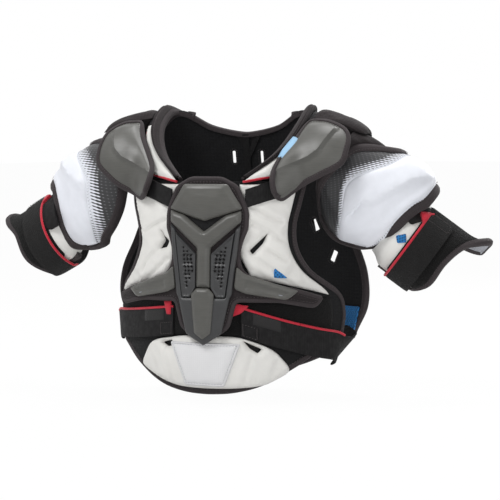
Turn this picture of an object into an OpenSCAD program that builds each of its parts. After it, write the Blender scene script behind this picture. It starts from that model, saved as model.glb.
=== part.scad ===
// Hockey shoulder pads: a padded vest with a moulded sternum, floating shoulder caps and hinged arm guards.
// Millimetres. +Z is up, the chest faces -Y, +X is the wearer's left.
// The origin lies between the shoulders, where the wearer's yoke line carries the pads.

/* [Torso] */
// Radius of the chest curve where it is fullest
chest_r = 178; // [170:1:186]
// Distance of the chest curve's axis behind the shoulder line
chest_y = 82; // [74:1:90]
// Depth below the shoulder line where the chest is fullest
chest_full = 290; // [270:5:310]
// Radius of the chest's up-and-down curve
chest_bow = 1900; // [1500:50:2600]
// Radius of the back curve
back_r = 358; // [350:1:366]
// Distance of the back curve's axis in front of the shoulder line
back_y = 246; // [240:1:252]
// How far the back leans in at the collar
back_lean = 34; // [26:1:40]
// Half width of the front panel under the arms
front_half_w = 114; // [108:1:120]
// Half width of the front panel at the waist
waist_half_w = 166; // [160:1:168]
// Half width of the back panel at the waist
back_half_w = 192; // [184:1:196]
// Depth of the front panel's top edge below the shoulder line
front_top = 92; // [90:1:96]
// Depth of the seam between the front panel and the belly flap
belly_seam = 316; // [312:1:320]
// Length of the belly flap at its middle
belly_drop = 81; // [69:1:89]

/* [Layers] */
// Thickness of the bound liners
liner_t = 8; // [6:0.5:9]
// Thickness of the foam pads on the liners
pad_t = 7.5; // [6:0.5:9]
// Thickness of a pad at its sewn edge
pad_edge_t = 3; // [2:0.5:4]
// Thickness of the bound sternum base
base_t = 5.5; // [4:0.5:7]
// Thickness of the moulded plates
plate_t = 4; // [3:0.5:5]
// Extra height of the raised moulded faces
raised_t = 2.5; // [1.5:0.5:4]
// Thickness of webbing, loop fabric and elastic
web_t = 2.5; // [2:0.5:3]
// Clearance between neighbouring layers
layer_gap = 0.5; // [0.4:0.1:0.7]

/* [Sternum] */
// Half width of the sternum plate's top edge
plate_top_w = 33; // [28:1:38]
// Half width of the sternum plate
plate_w = 54; // [52:1:58]
// Depth of the sternum plate's top edge
plate_top = 95; // [94:1:98]
// Half width of the spine column
column_w = 10.5; // [9:0.5:12]
// Diameter of a vent hole
vent_d = 2.8; // [2:0.1:3.4]
// Distance between vent holes
vent_pitch = 5.5; // [4.5:0.1:6.5]

/* [Shoulders] */
// Sideways distance of a shoulder's centre from the middle
shoulder_x = 150; // [146:1:156]
// Distance of a shoulder's centre behind the shoulder line
shoulder_y = 24; // [20:1:28]
// Depth of a shoulder's centre below the yoke line
shoulder_z = 84; // [80:1:88]
// Radius of the cap's outer face
cap_r = 88; // [86:1:92]
// Thickness of the moulded cap shell
cap_t = 3.8; // [3:0.2:4.4]
// Thickness of the cap's foam liner
cap_foam_t = 3.8; // [3:0.2:4.2]
// Height of the crease across the cap
cap_peak = 4; // [2:0.5:6]
// Thickness of the padded shoulder top
shoulder_top_t = 8; // [6:0.5:10]
// Thickness of the collar roll
collar_t = 10; // [7:0.5:12]

/* [Arms] */
// How far the left sleeve hangs below level
left_drop = 42; // [36:1:46]
// How far the right sleeve hangs below level
right_drop = 36; // [34:1:44]
// How far the left guard is bent up against its sleeve
left_bend = 5; // [0:1:8]
// How far the right guard is bent up against its sleeve
right_bend = 9; // [6:1:14]
// How far the left cuff is let out along its sleeve
left_reach = -8.5; // [-12:0.5:8]
// How far the right cuff is let out along its sleeve
right_reach = -10; // [-13:0.5:8]
// How far the left sleeve is turned about its own length
left_roll = 7; // [0:1:10]
// How far the right sleeve is turned about its own length
right_roll = 22; // [16:1:26]
// How far the sleeves point backwards
arm_back = 10; // [8:1:14]
// Radius of the gusset over the shoulder ball
gusset_r = 77.8; // [76.8:0.1:77.8]
// Thickness of the gusset fabric
gusset_t = 3; // [2:0.5:4]
// Front-to-back half width inside the bicep guard
bicep_ry = 60; // [56:1:62]
// Half height inside the bicep guard
bicep_rz = 63; // [60:1:66]
// Thickness of the moulded bicep plate
bicep_plate_t = 4.5; // [3:0.5:6]
// Radius inside the lower arm guard
guard_r = 50; // [46:1:54]
// Width of the arm strap
arm_strap_w = 40; // [34:1:44]
// Distance along the sleeve to the arm strap's near edge
arm_strap_at = 153; // [150:1:156]

/* [Straps] */
// Width of a side strap
side_strap_w = 42; // [36:1:44]
// Sideways distance from the middle to a side strap's free end
strap_end_x = 48; // [44:1:60]
// Fall of the left side strap for each millimetre outwards
left_fall = 0.3; // [0.15:0.01:0.34]
// Fall of the right side strap for each millimetre outwards
right_fall = 0.08; // [0:0.01:0.3]
// Sideways distance from the middle to the side strap's peel line
strap_peel_x = 118; // [112:1:124]

/* [Hidden] */

// Colours
olive = [0.38, 0.38, 0.36];
slate = [0.30, 0.32, 0.34];
binding = [0.24, 0.21, 0.22];
black = [0.11, 0.11, 0.12];
foam_white = [0.93, 0.92, 0.90];
gloss_white = [0.92, 0.93, 0.97];
red = [0.80, 0.14, 0.22];
blue = [0.10, 0.44, 0.70];

// Layer heights above the chest and back surfaces
pad_in = liner_t + layer_gap;
pad_out = pad_in + pad_t;
base_in = pad_out + layer_gap;
base_out = base_in + base_t;
plate_in = base_out + layer_gap;
plate_out = plate_in + plate_t;
rib_out = plate_out + raised_t;
tail_out = rib_out + layer_gap + plate_t;
loop_in = pad_in + layer_gap / 2;
loop_out = loop_in + web_t;
strap_in = loop_out + layer_gap;
strap_out = strap_in + web_t;
tab_in = strap_out + layer_gap;

shoulder = [shoulder_x, shoulder_y, -shoulder_z];
cap_shell_in = cap_r - cap_t;
cap_liner_out = cap_shell_in - layer_gap;
cap_liner_in = cap_liner_out - cap_foam_t;
top_in = cap_liner_in + layer_gap;
hem_low = belly_seam + belly_drop;

// Curves
function lerp(a, b, t) = a + (b - a) * t;
function unit(v) = v / norm(v);
function blend4(a, b, c, d, t) =
    0.5 * (2 * b + (c - a) * t + (2 * a - 5 * b + 4 * c - d) * t * t + (3 * b - a - 3 * c + d) * t * t * t);
function spline(p, t) =
    let (n = len(p) - 1, s = min(1, max(0, t)) * n, i = min(n - 1, floor(s)))
    blend4(p[max(0, i - 1)], p[i], p[i + 1], p[min(n, i + 2)], s - i);
function crown(u, v) = (1 - pow(2 * u - 1, 4)) * (1 - pow(2 * v - 1, 4));
function padded(u, v, from, full, edge) = from + edge + (full - edge) * crown(u, v);
function mirrored(p) = concat(p, [for (i = [len(p) - 1:-1:0]) if (p[i][0] > 0) [-p[i][0], p[i][1]]]);

// A closed sheet between an inner face f(u, v, 0) and an outer face f(u, v, 1).
// Cells crowd towards the edges, where sewn edges draw in.
module sheet(f, nu, nv, crowd = true) {
    at = function (i, n) crowd ? (1 - cos(180 * i / n)) / 2 : i / n;
    row = nv + 1;
    side = (nu + 1) * row;
    points = [for (s = [0, 1], i = [0:nu], j = [0:nv]) f(at(i, nu), at(j, nv), s)];
    id = function (s, i, j) s * side + i * row + j;
    quad = function (a, b, c, d) [[a, b, c], [a, c, d]];
    inner = [for (i = [0:nu - 1], j = [0:nv - 1])
        each quad(id(0, i, j), id(0, i + 1, j), id(0, i + 1, j + 1), id(0, i, j + 1))];
    outer = [for (i = [0:nu - 1], j = [0:nv - 1])
        each quad(id(1, i, j), id(1, i, j + 1), id(1, i + 1, j + 1), id(1, i + 1, j))];
    u_edges = [for (j = [0:nv - 1]) each concat(
        quad(id(0, 0, j), id(0, 0, j + 1), id(1, 0, j + 1), id(1, 0, j)),
        quad(id(0, nu, j), id(1, nu, j), id(1, nu, j + 1), id(0, nu, j + 1)))];
    v_edges = [for (i = [0:nu - 1]) each concat(
        quad(id(0, i, 0), id(1, i, 0), id(1, i + 1, 0), id(0, i + 1, 0)),
        quad(id(0, i, nv), id(0, i + 1, nv), id(1, i + 1, nv), id(1, i, nv)))];
    faces = concat(inner, outer, u_edges, v_edges);
    middle = f(0.5, 0.5, 0);
    facing = cross(f(0.51, 0.5, 0) - middle, f(0.5, 0.51, 0) - middle) * (f(0.5, 0.5, 1) - middle);
    polyhedron(points, facing > 0 ? faces : [for (t = faces) [t[2], t[1], t[0]]]);
}

// A point lifted by h off the surface f, away from the point c
function lifted(f, u, v, h, c) =
    let (e = 0.01, p = f(u, v),
        du = f(min(1, u + e), v) - f(max(0, u - e), v),
        dv = f(u, min(1, v + e)) - f(u, max(0, v - e)),
        n = unit(cross(du, dv)))
    p + h * (n * (p - c) < 0 ? -n : n);

// Chest: a barrel about an upright axis behind the shoulder line
function chest_radius(z) = chest_r - pow(z + chest_full, 2) / (2 * chest_bow);
function on_chest(x, z, h) =
    let (r = chest_radius(z), a = asin(x / r))
    [(r + h) * sin(a), chest_y - (r + h) * cos(a), z];

// Back: a flatter barrel about an upright axis in front of the shoulder line
back_low = -250;
back_rise = 230;
function back_radius(z) = back_r - back_lean * pow(max(0, z - back_low) / back_rise, 2);
function on_back(x, z, h) =
    let (r = back_radius(z), a = asin(x / r))
    [(r + h) * sin(a), (r + h) * cos(a) - back_y, z];

// Every side piece is laid out on the wearer's left and mirrored for the right
module left() {
    children();
}

module right() {
    mirror([1, 0, 0]) children();
}

// Gap along a sewn seam between two panels
flap_gap = 0.6;

// Front panel
front_widths = [waist_half_w - 2, waist_half_w, waist_half_w - 6, front_half_w + 18, front_half_w + 3,
    front_half_w, front_half_w + 5, front_half_w + 10];
function front_half(z) = spline(front_widths, (z + belly_seam) / (belly_seam - front_top));

// Heights on the front are drawn for a panel between these levels, and follow the panel when it changes
drawn = [-92, -316];
function level(z) = lerp(-front_top, -belly_seam, (z - drawn[0]) / (drawn[1] - drawn[0]));

module front_liner() {
    place = function (u, v, s)
        let (z = lerp(-belly_seam, -front_top, v))
        on_chest((2 * u - 1) * front_half(z), z, s * liner_t);
    color(black) sheet(place, 18, 10, false);
}

// Chest pads: inner edges lie under the sternum base, outer edges inside the panel's binding
pad_margin = 5;
pad_inner_x = [62, 47, 45, 51, 45];
pad_low_in = level(-228);
pad_low_out = level(-256);
pad_top = -front_top - 4;
chest_fold = 1.2;

function chest_pad_at(u, v) =
    let (z = lerp(lerp(pad_low_in, pad_low_out, u), pad_top, v))
    [lerp(spline(pad_inner_x, v), front_half(z) - pad_margin, u), z];

module chest_pad() {
    fold = function (u, v) chest_fold * sin(540 * (v - 0.35 * u)) * crown(u, v);
    place = function (u, v, s)
        let (p = chest_pad_at(u, v), h = padded(u, v, pad_in, pad_t - chest_fold, pad_edge_t) + fold(u, v))
        on_chest(p[0], p[1], s == 0 ? pad_in : h);
    color(foam_white) sheet(place, 8, 12);
}

// Sternum pieces: outlines seen from the front, cut through shells of the chest barrel
shell_low = level(-340);
shell_top = level(-80);
shell_steps = 4;
shell_sweep = 150;
cut_depth = 240;

module chest_shell(from, to) {
    heights = [for (i = [0:shell_steps]) lerp(shell_low, shell_top, i / shell_steps)];
    inner = [for (z = heights) [chest_radius(z) + from, z]];
    outer = [for (i = [shell_steps:-1:0]) [chest_radius(heights[i]) + to, heights[i]]];
    translate([0, chest_y, 0])
        rotate([0, 0, -90 - shell_sweep / 2])
            rotate_extrude(angle = shell_sweep, $fn = 96)
                polygon(concat(inner, outer));
}

module front_piece(outline, from, to) {
    intersection() {
        chest_shell(from, to);
        rotate([90, 0, 0]) linear_extrude(cut_depth) polygon([for (p = outline) [p[0], level(p[1])]]);
    }
}

module sternum_core() {
    half = [[32, -96], [42, -140], [36, -186], [38, -222], [40, -256]];
    color(black) front_piece(mirrored(half), pad_in, pad_out);
}

base_flare = [[61, -158], [51, -190], [56, -219], [84, -235], [126, -247], [156, -259]];
base_steps = 12;

module sternum_base() {
    flare = [for (i = [0:base_steps]) spline(base_flare, i / base_steps)];
    half = concat([[24, -86], [47, -99], [61, -134]], flare,
        [[147, -273], [104, -263], [46, -262], [36, -300], [18, -311]]);
    color(binding) front_piece(mirrored(half), base_in, base_out);
}

// The plate's lower edge is a V, and the spine rib's upper edge follows it, leaving a V-shaped window
plate_shoulder = -129;
v_side = -131;
v_point = -148;
window_point = -163;
window_side_x = 32;
rib_side = -149;
rib_neck = -186;
rib_end = -243;
seam_gap = 0.4;

function v_edge(x) = lerp(v_point, v_side, x / plate_w);

module sternum_plate() {
    inset = 4;
    half = [[plate_top_w, -plate_top], [plate_w, plate_shoulder], [plate_w, v_side], [0, v_point]];
    face = [[plate_top_w - inset, -plate_top - inset], [plate_w - inset, plate_shoulder],
        [plate_w - 2 * inset, v_side - 1], [0, v_point + inset]];
    color(olive) union() {
        front_piece(mirrored(half), plate_in, plate_out);
        front_piece(mirrored(face), plate_in + layer_gap, rib_out);
    }
}

module spine_rib() {
    half = [[0, window_point], [window_side_x, v_edge(window_side_x) - 2 * seam_gap],
        [plate_w, v_side - 2 * seam_gap], [plate_w, rib_side], [column_w, rib_neck], [column_w, rib_end]];
    inset = 2.5;
    face = [[0, window_point - inset], [window_side_x, v_edge(window_side_x) - 2 * inset],
        [plate_w - inset, v_side - inset], [plate_w - inset, rib_side + inset],
        [column_w - inset, rib_neck + inset], [column_w - inset, rib_end + inset]];
    color(olive) union() {
        front_piece(mirrored(half), plate_in, plate_out);
        front_piece(mirrored(face), plate_in + layer_gap, rib_out);
    }
}

// Spine frame: two rails beside the vent plates that join below them and end in a point
rail_in_top = [46, -160];
rail_out_top = [54, -152.5];
rail_out_low = [42, -253];
rail_in_low = [33, -257.5];
frame_waist = [39, -257.5];
frame_low = [27, -309];
frame_tip = -326;

module spine_frame() {
    half = [[0, rail_in_low[1]], rail_in_low, rail_in_top, rail_out_top, rail_out_low, frame_waist,
        frame_low, [0, frame_tip]];
    color(slate) front_piece(mirrored(half), plate_in, plate_out);
}

module spine_tail() {
    top = rib_end - seam_gap;
    low = frame_low[1];
    half = [[column_w - 1.5, top], [column_w + 7, top - 9], [column_w + 2, low + 1], [0, low - 8]];
    color(olive) front_piece(mirrored(half), plate_out + layer_gap, tail_out);
}

vent_rows = [1, 2, 3, 3, 3, 3, 3, 2, 2, 1, 1];
vent_first = [32, -186];
vent_slant = 0.6;

module vent_plate() {
    gap = seam_gap;
    outline = [[rail_in_top[0] - 3 * gap, rail_in_top[1] - 4], [column_w + 11, rib_neck + 1],
        [column_w + gap, rib_neck - 9], [column_w + gap, rib_end], [column_w + 9, rail_in_low[1] + gap],
        [rail_in_low[0] - gap, rail_in_low[1] + gap]];
    color(slate) difference() {
        front_piece(outline, plate_in, plate_in + plate_t - 1);
        for (row = [0:len(vent_rows) - 1], col = [0:vent_rows[row] - 1])
            translate([vent_first[0] - col * vent_pitch - row * vent_slant, 0,
                    level(vent_first[1] - row * vent_pitch)])
                rotate([90, 0, 0])
                    cylinder(h = cut_depth, d = vent_d, $fn = 24);
    }
}

module rib_wing() {
    outline = [[47.8, -212], [60, -223], [130, -248], [115, -261], [60, -251], [44.6, -244]];
    recess = [[66, -234], [112, -250], [106, -255], [64, -243]];
    recess_floor = plate_t - 1.5;
    color(olive) difference() {
        front_piece(outline, plate_in, plate_in + plate_t);
        front_piece(recess, plate_in + recess_floor, plate_out + raised_t);
    }
}

loop_top = level(-260.5);
loop_margin = 4;

module front_loop_panel() {
    place = function (u, v, s)
        let (z = lerp(-belly_seam + loop_margin, loop_top, v))
        on_chest((2 * u - 1) * (front_half(z) - loop_margin), z, loop_in + s * web_t);
    color(black) sheet(place, 18, 3, false);
}

// Yoke: over each shoulder from the front panel to the back panel
yoke_core = [110, 30, -160];
yoke_inner = [[82, -45, -56], [101, -8, -20], [104, 36, 1], [95, 58, -1]];
yoke_outer = [[124, -22, -58], [132, 6, -27], [139, 34, -11], [137, 46, -14]];
yoke_front_x = [46, 120];
yoke_back_x = [76, 132];
yoke_bulge = 4;
yoke_mid = function (u, v)
    let (back_x = lerp(yoke_back_x[0], yoke_back_x[1], u))
    spline(concat([on_chest(lerp(yoke_front_x[0], yoke_front_x[1], u), -front_top + flap_gap, 0)],
        [for (i = [0:len(yoke_inner) - 1]) lerp(yoke_inner[i], yoke_outer[i], u)],
        [on_back(back_x, back_top(back_x) + flap_gap, 0)]), v);
function yoke_at(u, v, h) =
    lifted(yoke_mid, u, v, h + yoke_bulge * sin(180 * u) * sin(180 * v), yoke_core);

module yoke() {
    color(black) sheet(function (u, v, s) yoke_at(u, v, s * liner_t), 6, 12, false);
}

clavicle_slim = 2.5;
clavicle_span = [0.06, 0.47];
clavicle_across = [0.33, 0.57];

module clavicle_pad() {
    place = function (u, v, s)
        yoke_at(lerp(clavicle_across[0], clavicle_across[1], u), lerp(clavicle_span[0], clavicle_span[1], v),
            s == 0 ? pad_in : padded(u, v, pad_in, pad_t - clavicle_slim, pad_edge_t));
    color(foam_white) sheet(place, 5, 9);
}

// Collar rolls along the neckline
collar_across = 0.3;
collar_end = 0.82;

module collar() {
    place = function (u, v, s)
        yoke_at(collar_across * u, lerp(0.02, collar_end, v),
            s == 0 ? pad_in : padded(u, 0.5, pad_in, collar_t, pad_edge_t));
    color(binding) sheet(place, 5, 14, false);
}

back_top_edge = [-21, -20, -5, -38];
back_low_edge = [-392, -390, -376, -332];
back_widths = [back_half_w - 42, back_half_w - 27, back_half_w - 34, back_half_w - 20, back_half_w - 4,
    back_half_w + 2, back_half_w - 8];
function back_top(x) = spline(back_top_edge, abs(x) / back_widths[0]);
function back_at(u, v) =
    let (q = 2 * u - 1)
    [q * spline(back_widths, v), lerp(spline(back_top_edge, abs(q)), spline(back_low_edge, abs(q)), v)];

collar_back_x = 84;
collar_back_h = 24;

module back_collar() {
    place = function (u, v, s)
        let (x = lerp(-collar_back_x, collar_back_x, v), z = back_top(x) - 1 - collar_back_h * u)
        on_back(x, z, s == 0 ? pad_in : padded(u, 0.5, pad_in, collar_t, pad_edge_t));
    color(binding) sheet(place, 5, 10, false);
}

// Shoulder tops: from the yoke out over the shoulder ball, behind the caps
ball_from = -19;
ball_to = 43;
top_mid_rise = 72;
top_end_rise = 47;
top_yoke = [0.5, 0.82];
top_yoke_across = 0.55;
function on_ball(r, rise, turn) =
    shoulder + r * [cos(turn) * cos(rise), sin(turn), cos(turn) * sin(rise)];
shoulder_top_mid = function (u, v)
    let (turn = lerp(ball_from, ball_to, v))
    spline([yoke_at(top_yoke_across, lerp(top_yoke[0], top_yoke[1], v), pad_in),
        on_ball(top_in, top_mid_rise, turn), on_ball(top_in, top_end_rise, turn)], u);

module shoulder_top() {
    place = function (u, v, s)
        lifted(shoulder_top_mid, u, v, s == 0 ? 0 : padded(u, v, 0, shoulder_top_t, pad_edge_t), shoulder);
    color(binding) sheet(place, 8, 8);
}

// Caps: patches of a ball round the shoulder, outlined as seen from the front
cap_top = -7;
cap_low = -120;
cap_left = [100, 94, 92, 99, 117, 128];
cap_right = [110, 145, 180, 190, 189, 162];
crease_from = [172, -20];
crease_to = [108, -72];
crease_reach = 34;
function crease_height(x, z) =
    let (d = unit(crease_to - crease_from), p = [x, z] - crease_from, off = abs(d[0] * p[1] - d[1] * p[0]))
    cap_peak * max(0, 1 - off / crease_reach);
// The inner lower lobe stands forward over the chest pad
lobe_from = [130, -18];
lobe_span = [38, 90];
lobe_reach = 60;
function lobe(x, z) =
    let (in = max(0, (lobe_from[0] - x) / lobe_span[0]), down = max(0, (lobe_from[1] - z) / lobe_span[1]))
    lobe_reach * in * min(1, down);
function on_cap(u, v, r, rise = 0) =
    let (z = lerp(cap_low, cap_top, v), x = lerp(spline(cap_left, v), spline(cap_right, v), u),
        dx = x - shoulder[0], dz = z - shoulder[2],
        d = [dx, -sqrt(cap_r * cap_r - dx * dx - dz * dz), dz] / cap_r)
    shoulder + d * (r + rise * crease_height(x, z)) - [0, lobe(x, z), 0];

module cap_shell() {
    place = function (u, v, s) on_cap(u, v, s == 0 ? cap_shell_in : cap_r, s * crown(u, v));
    color(olive) sheet(place, 10, 10);
}

module cap_liner() {
    place = function (u, v, s) on_cap(u, v, lerp(cap_liner_in, cap_liner_out, s));
    color(black) sheet(place, 10, 10);
}

// Tethers: elastic bands from the sternum base to the caps
module cap_tether() {
    low = [[50.4, -118], [76, -112], [104, -104]];
    width = 20;
    place = function (u, v, s)
        let (p = spline(low, u))
        on_chest(p[0], level(p[1]) + width * v, pad_out + layer_gap + s * web_t);
    color(black) sheet(place, 6, 2, false);
}

// Back panel with lacing slots
slot_w = 5;
slot_h = 18;
slots = [[22, -58, 0], [105, -160, -24], [136, -206, 24]];

module back_liner() {
    place = function (u, v, s)
        let (p = back_at(u, v))
        on_back(p[0], p[1], s * liner_t);
    color(black) difference() {
        sheet(place, 14, 12, false);
        for (p = slots, side = [-1, 1])
            translate([side * p[0], back_r - back_y, p[1]])
                rotate([0, side * p[2], 0])
                    cube([slot_w, back_r, slot_h], center = true);
    }
}

module back_piece(left, right, top, low, thick, nu, nv) {
    place = function (u, v, s)
        on_back(lerp(spline(left, v), spline(right, v), u), lerp(top, low, v),
            s == 0 ? pad_in : padded(u, v, pad_in, thick, pad_edge_t));
    sheet(place, nu, nv);
}

module back_pad() {
    color(black) back_piece([34, 34, 36, 38], [124, 136, 128, 132], -100, -206, pad_t, 7, 8);
}

module back_spine_plate() {
    color(slate) back_piece([-26, -20, -24, -28], [26, 20, 24, 28], -78, -262, pad_t, 6, 10);
}

module lower_back_pad() {
    color(black) back_piece([-130, -128, -112, -86], [130, 128, 112, 86], -270, -366, pad_t, 10, 7);
}

mesh_h = 42;
mesh_x = [back_half_w - 72, back_half_w - 12];

module back_mesh(fall) {
    low = strap_low(fall) + 4;
    place = function (u, v, s)
        on_back(lerp(mesh_x[0], mesh_x[1], u), low + mesh_h * v, -web_t - layer_gap + web_t * s);
    color(blue) sheet(place, 6, 2, false);
}

// Belly flap below the front panel
hem_edge = [-hem_low, -hem_low + 3, -hem_low + 14, -hem_low + 38, -hem_low + 66];
belly_half_w = waist_half_w - 4;

module belly_base() {
    place = function (u, v, s)
        let (q = 2 * u - 1)
        on_chest(q * belly_half_w * lerp(0.965, 1, v),
            lerp(spline(hem_edge, abs(q)), -belly_seam - flap_gap, v), s * liner_t);
    color(black) sheet(place, 14, 4, false);
}

belly_low = [-hem_low + 7, -hem_low + 8, -hem_low + 16, -hem_low + 34];
belly_top = [-belly_seam - 7, -belly_seam - 8, -belly_seam - 12, -belly_seam - 26];
belly_pad_w = 112;
belly_pad_t = 8;
function belly_pad_place(u, v) =
    let (q = 2 * u - 1)
    [q * belly_pad_w * (1 - 0.12 * pow(2 * v - 1, 2)),
        lerp(spline(belly_low, abs(q)), spline(belly_top, abs(q)), v)];

module belly_pad() {
    place = function (u, v, s)
        let (p = belly_pad_place(u, v))
        on_chest(p[0], p[1], s == 0 ? pad_in : padded(u, v, pad_in, belly_pad_t, pad_edge_t));
    color(foam_white) sheet(place, 14, 8);
}

cover_top_w = 52;
cover_low_w = 29;

module belly_cover() {
    under = pad_in + belly_pad_t + layer_gap;
    place = function (u, v, s)
        on_chest((2 * u - 1) * lerp(cover_low_w, cover_top_w, v),
            lerp(-hem_low + 16, -belly_seam - 10, v), under + s * web_t);
    color(gloss_white) sheet(place, 6, 4, false);
}

// Side straps: sewn to the back panel, round the flank and over the loop panel
strap_top = level(-272);
strap_sink = 4;
sewn_reach = [26, 44, 62];
flank_reach = [146, 168];
flank_side = [[178, 12, 0], [184, 36, 0]];
function strap_level(x, fall) = strap_top - fall * (x - strap_end_x);
function strap_low(fall) = strap_level(flank_reach[1], fall) - strap_sink;
function strap_path(fall) =
    let (peel_x = strap_peel_x + flap_gap, low = strap_low(fall),
        front = [for (x = flank_reach) on_chest(x, strap_level(x, fall), strap_in + 2 * flap_gap)],
        sewn = [for (i = [0:2]) on_back(back_half_w - sewn_reach[i], low, -web_t - flap_gap * (3 - i))])
    concat([on_chest(peel_x, strap_level(peel_x, fall), strap_in)], front,
        [for (p = flank_side) [p[0], p[1], low]], sewn);

module side_strap(fall) {
    path = strap_path(fall);
    band = function (u, v) spline(path, v) - [0, 0, u * side_strap_w];
    place = function (u, v, s) lifted(band, u, v, s * web_t, [0, chest_y / 2, -belly_seam]);
    color(black) sheet(place, 1, 18, false);
}

module strap_end(fall) {
    place = function (u, v, s)
        let (x = lerp(strap_end_x, strap_peel_x, u))
        on_chest(x, strap_level(x, fall) - v * side_strap_w, strap_in + s * web_t);
    color(black) sheet(place, 7, 1, false);
}

// Red pull tab folded over the strap's upper corner
tab_w = 18;
tab_h = 14;

module strap_tab(fall) {
    place = function (u, v, s)
        let (x = strap_end_x - 2 + tab_w * u)
        on_chest(x, strap_level(x, fall) - tab_h * v, tab_in + s * web_t);
    color(red) sheet(place, 2, 1, false);
}

// Sleeves: laid out along +X from the shoulder's centre, front at -Y, then turned into place
module sleeve(drop, roll) {
    translate(shoulder)
        rotate([0, drop, 0])
            rotate([0, 0, arm_back])
                rotate([-roll, 0, 0])
                    children();
}

module left_sleeve() {
    left() sleeve(left_drop, left_roll) children();
}

module right_sleeve() {
    right() sleeve(right_drop, right_roll) children();
}

// Cuffs: laid out along their sleeve, then bent up at the elbow and let out
elbow = [138, 0, 60];
module bent(bend, reach) {
    translate(elbow)
        rotate([0, -bend, 0])
            translate([reach, 0, 0] - elbow)
                children();
}

module left_cuff() {
    left_sleeve() bent(left_bend, left_reach) children();
}

module right_cuff() {
    right_sleeve() bent(right_bend, right_reach) children();
}

// Bicep guard: a shell round the upper arm whose front hangs down as an apron
bicep_rows = 14;
bicep_centre = [8, 25];
bicep_round = [-78, 125];
bicep_span = [-5, 136];
bicep_swell = [0.8, 0.86, 0.93, 0.98, 1, 0.97, 0.84];
bicep_apron = [0.86, 1.1, 1.3, 1.35, 1.22, 0.98, 0.52];
bicep_flat = [1.06, 1.05, 1.02, 1, 1, 0.97, 0.84];
apron_turn = 40;
bicep_near = [40, 10, 2, 18, 48, 52];
bicep_far = [116, 130, 131, 133, 131, 131];
function bicep_turn(v) = lerp(bicep_round[0], bicep_round[1], v);
function around_bicep(t, turn, h) =
    let (along = (t - bicep_span[0]) / (bicep_span[1] - bicep_span[0]), k = spline(bicep_swell, along),
        low = min(1, max(0, -turn / apron_turn)), wide = bicep_ry * lerp(k, spline(bicep_flat, along), low),
        tall = bicep_rz * lerp(k, spline(bicep_apron, along), low))
    [t, bicep_centre[0] - (wide + h) * cos(turn), bicep_centre[1] + (tall + h) * sin(turn)];
function on_bicep(t, v, h) = around_bicep(t, bicep_turn(v), h);

// Gusset: a ball under the shoulder top that opens out into the bicep guard
gusset_tilt = [92, 63];
gusset_round = [74, 150];
gusset_sewn = [66, 123];
gusset_deep = 12;
gusset_ball = 0.7;

module arm_gusset() {
    on_gusset = function (u, v, thick)
        let (turn = lerp(gusset_round[0], gusset_round[1], v),
            tilt = lerp(gusset_tilt[0], gusset_tilt[1], min(1, u / gusset_ball)),
            ball = (gusset_r - thick) * [cos(tilt), -sin(tilt) * cos(turn), sin(tilt) * sin(turn)],
            sewn = around_bicep(bicep_near[5] + gusset_deep, lerp(gusset_sewn[0], gusset_sewn[1], v),
                -layer_gap - thick))
        lerp(ball, sewn, max(0, (u - gusset_ball) / (1 - gusset_ball)));
    color(binding) sheet(function (u, v, s) on_gusset(u, v, (1 - s) * gusset_t), 10, 10, false);
}

module bicep_liner() {
    place = function (u, v, s) on_bicep(lerp(spline(bicep_near, v), spline(bicep_far, v), u), v, s * liner_t);
    color(binding) sheet(place, 8, bicep_rows, false);
}

bicep_seam = [70, 46, 31, 30, 62, 76];
bicep_margin = 5;

module bicep_plate() {
    place = function (u, v, s)
        let (w = lerp(1 / bicep_rows, 1 - 1 / bicep_rows, v), far = spline(bicep_far, w) - bicep_margin)
        on_bicep(lerp(spline(bicep_seam, w), far, u), w,
            s == 0 ? pad_in : padded(u, v, pad_in, bicep_plate_t, bicep_plate_t / 2));
    color(gloss_white) sheet(place, 8, bicep_rows - 2, false);
}

guard_centre = [2, 3];
guard_round = [-80, 140];
guard_near = [126, 140, 139, 139, 137, 137];
guard_far = [198, 214, 214, 218, 234, 262];
guard_flare = 22;
flare_from = 214;
flare_length = 48;
function on_guard(t, turn, h) =
    let (flare = guard_flare * pow(max(0, t - flare_from) / flare_length, 2), r = guard_r + h + flare)
    [t, guard_centre[0] - r * cos(turn), guard_centre[1] + r * sin(turn)];

module arm_guard() {
    place = function (u, v, s)
        let (t = lerp(spline(guard_near, v), spline(guard_far, v), u))
        on_guard(t, lerp(guard_round[0], guard_round[1], v), s * liner_t);
    color(foam_white) sheet(place, 7, 14, false);
}

loop_round = [-60, 78];
loop_near = 149;
loop_far = 204;

module guard_loop() {
    place = function (u, v, s)
        on_guard(lerp(loop_near, loop_far, u), lerp(loop_round[0], loop_round[1], v), loop_in + s * web_t);
    color(black) sheet(place, 3, 10, false);
}

strap_round = [-222, -6];
strap_end_round = [-5.2, 60];

strap_flat = 20;
function strap_draw(turn) = turn < guard_round[0]
    ? strap_flat * sin(180 * (turn - guard_round[0]) / (guard_round[0] - strap_round[0])) : 0;

module arm_band(round, n) {
    place = function (u, v, s)
        let (turn = lerp(round[0], round[1], v))
        on_guard(arm_strap_at + arm_strap_w * u, turn, strap_in + s * web_t + strap_draw(turn));
    color(black) sheet(place, 1, n, false);
}

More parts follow.
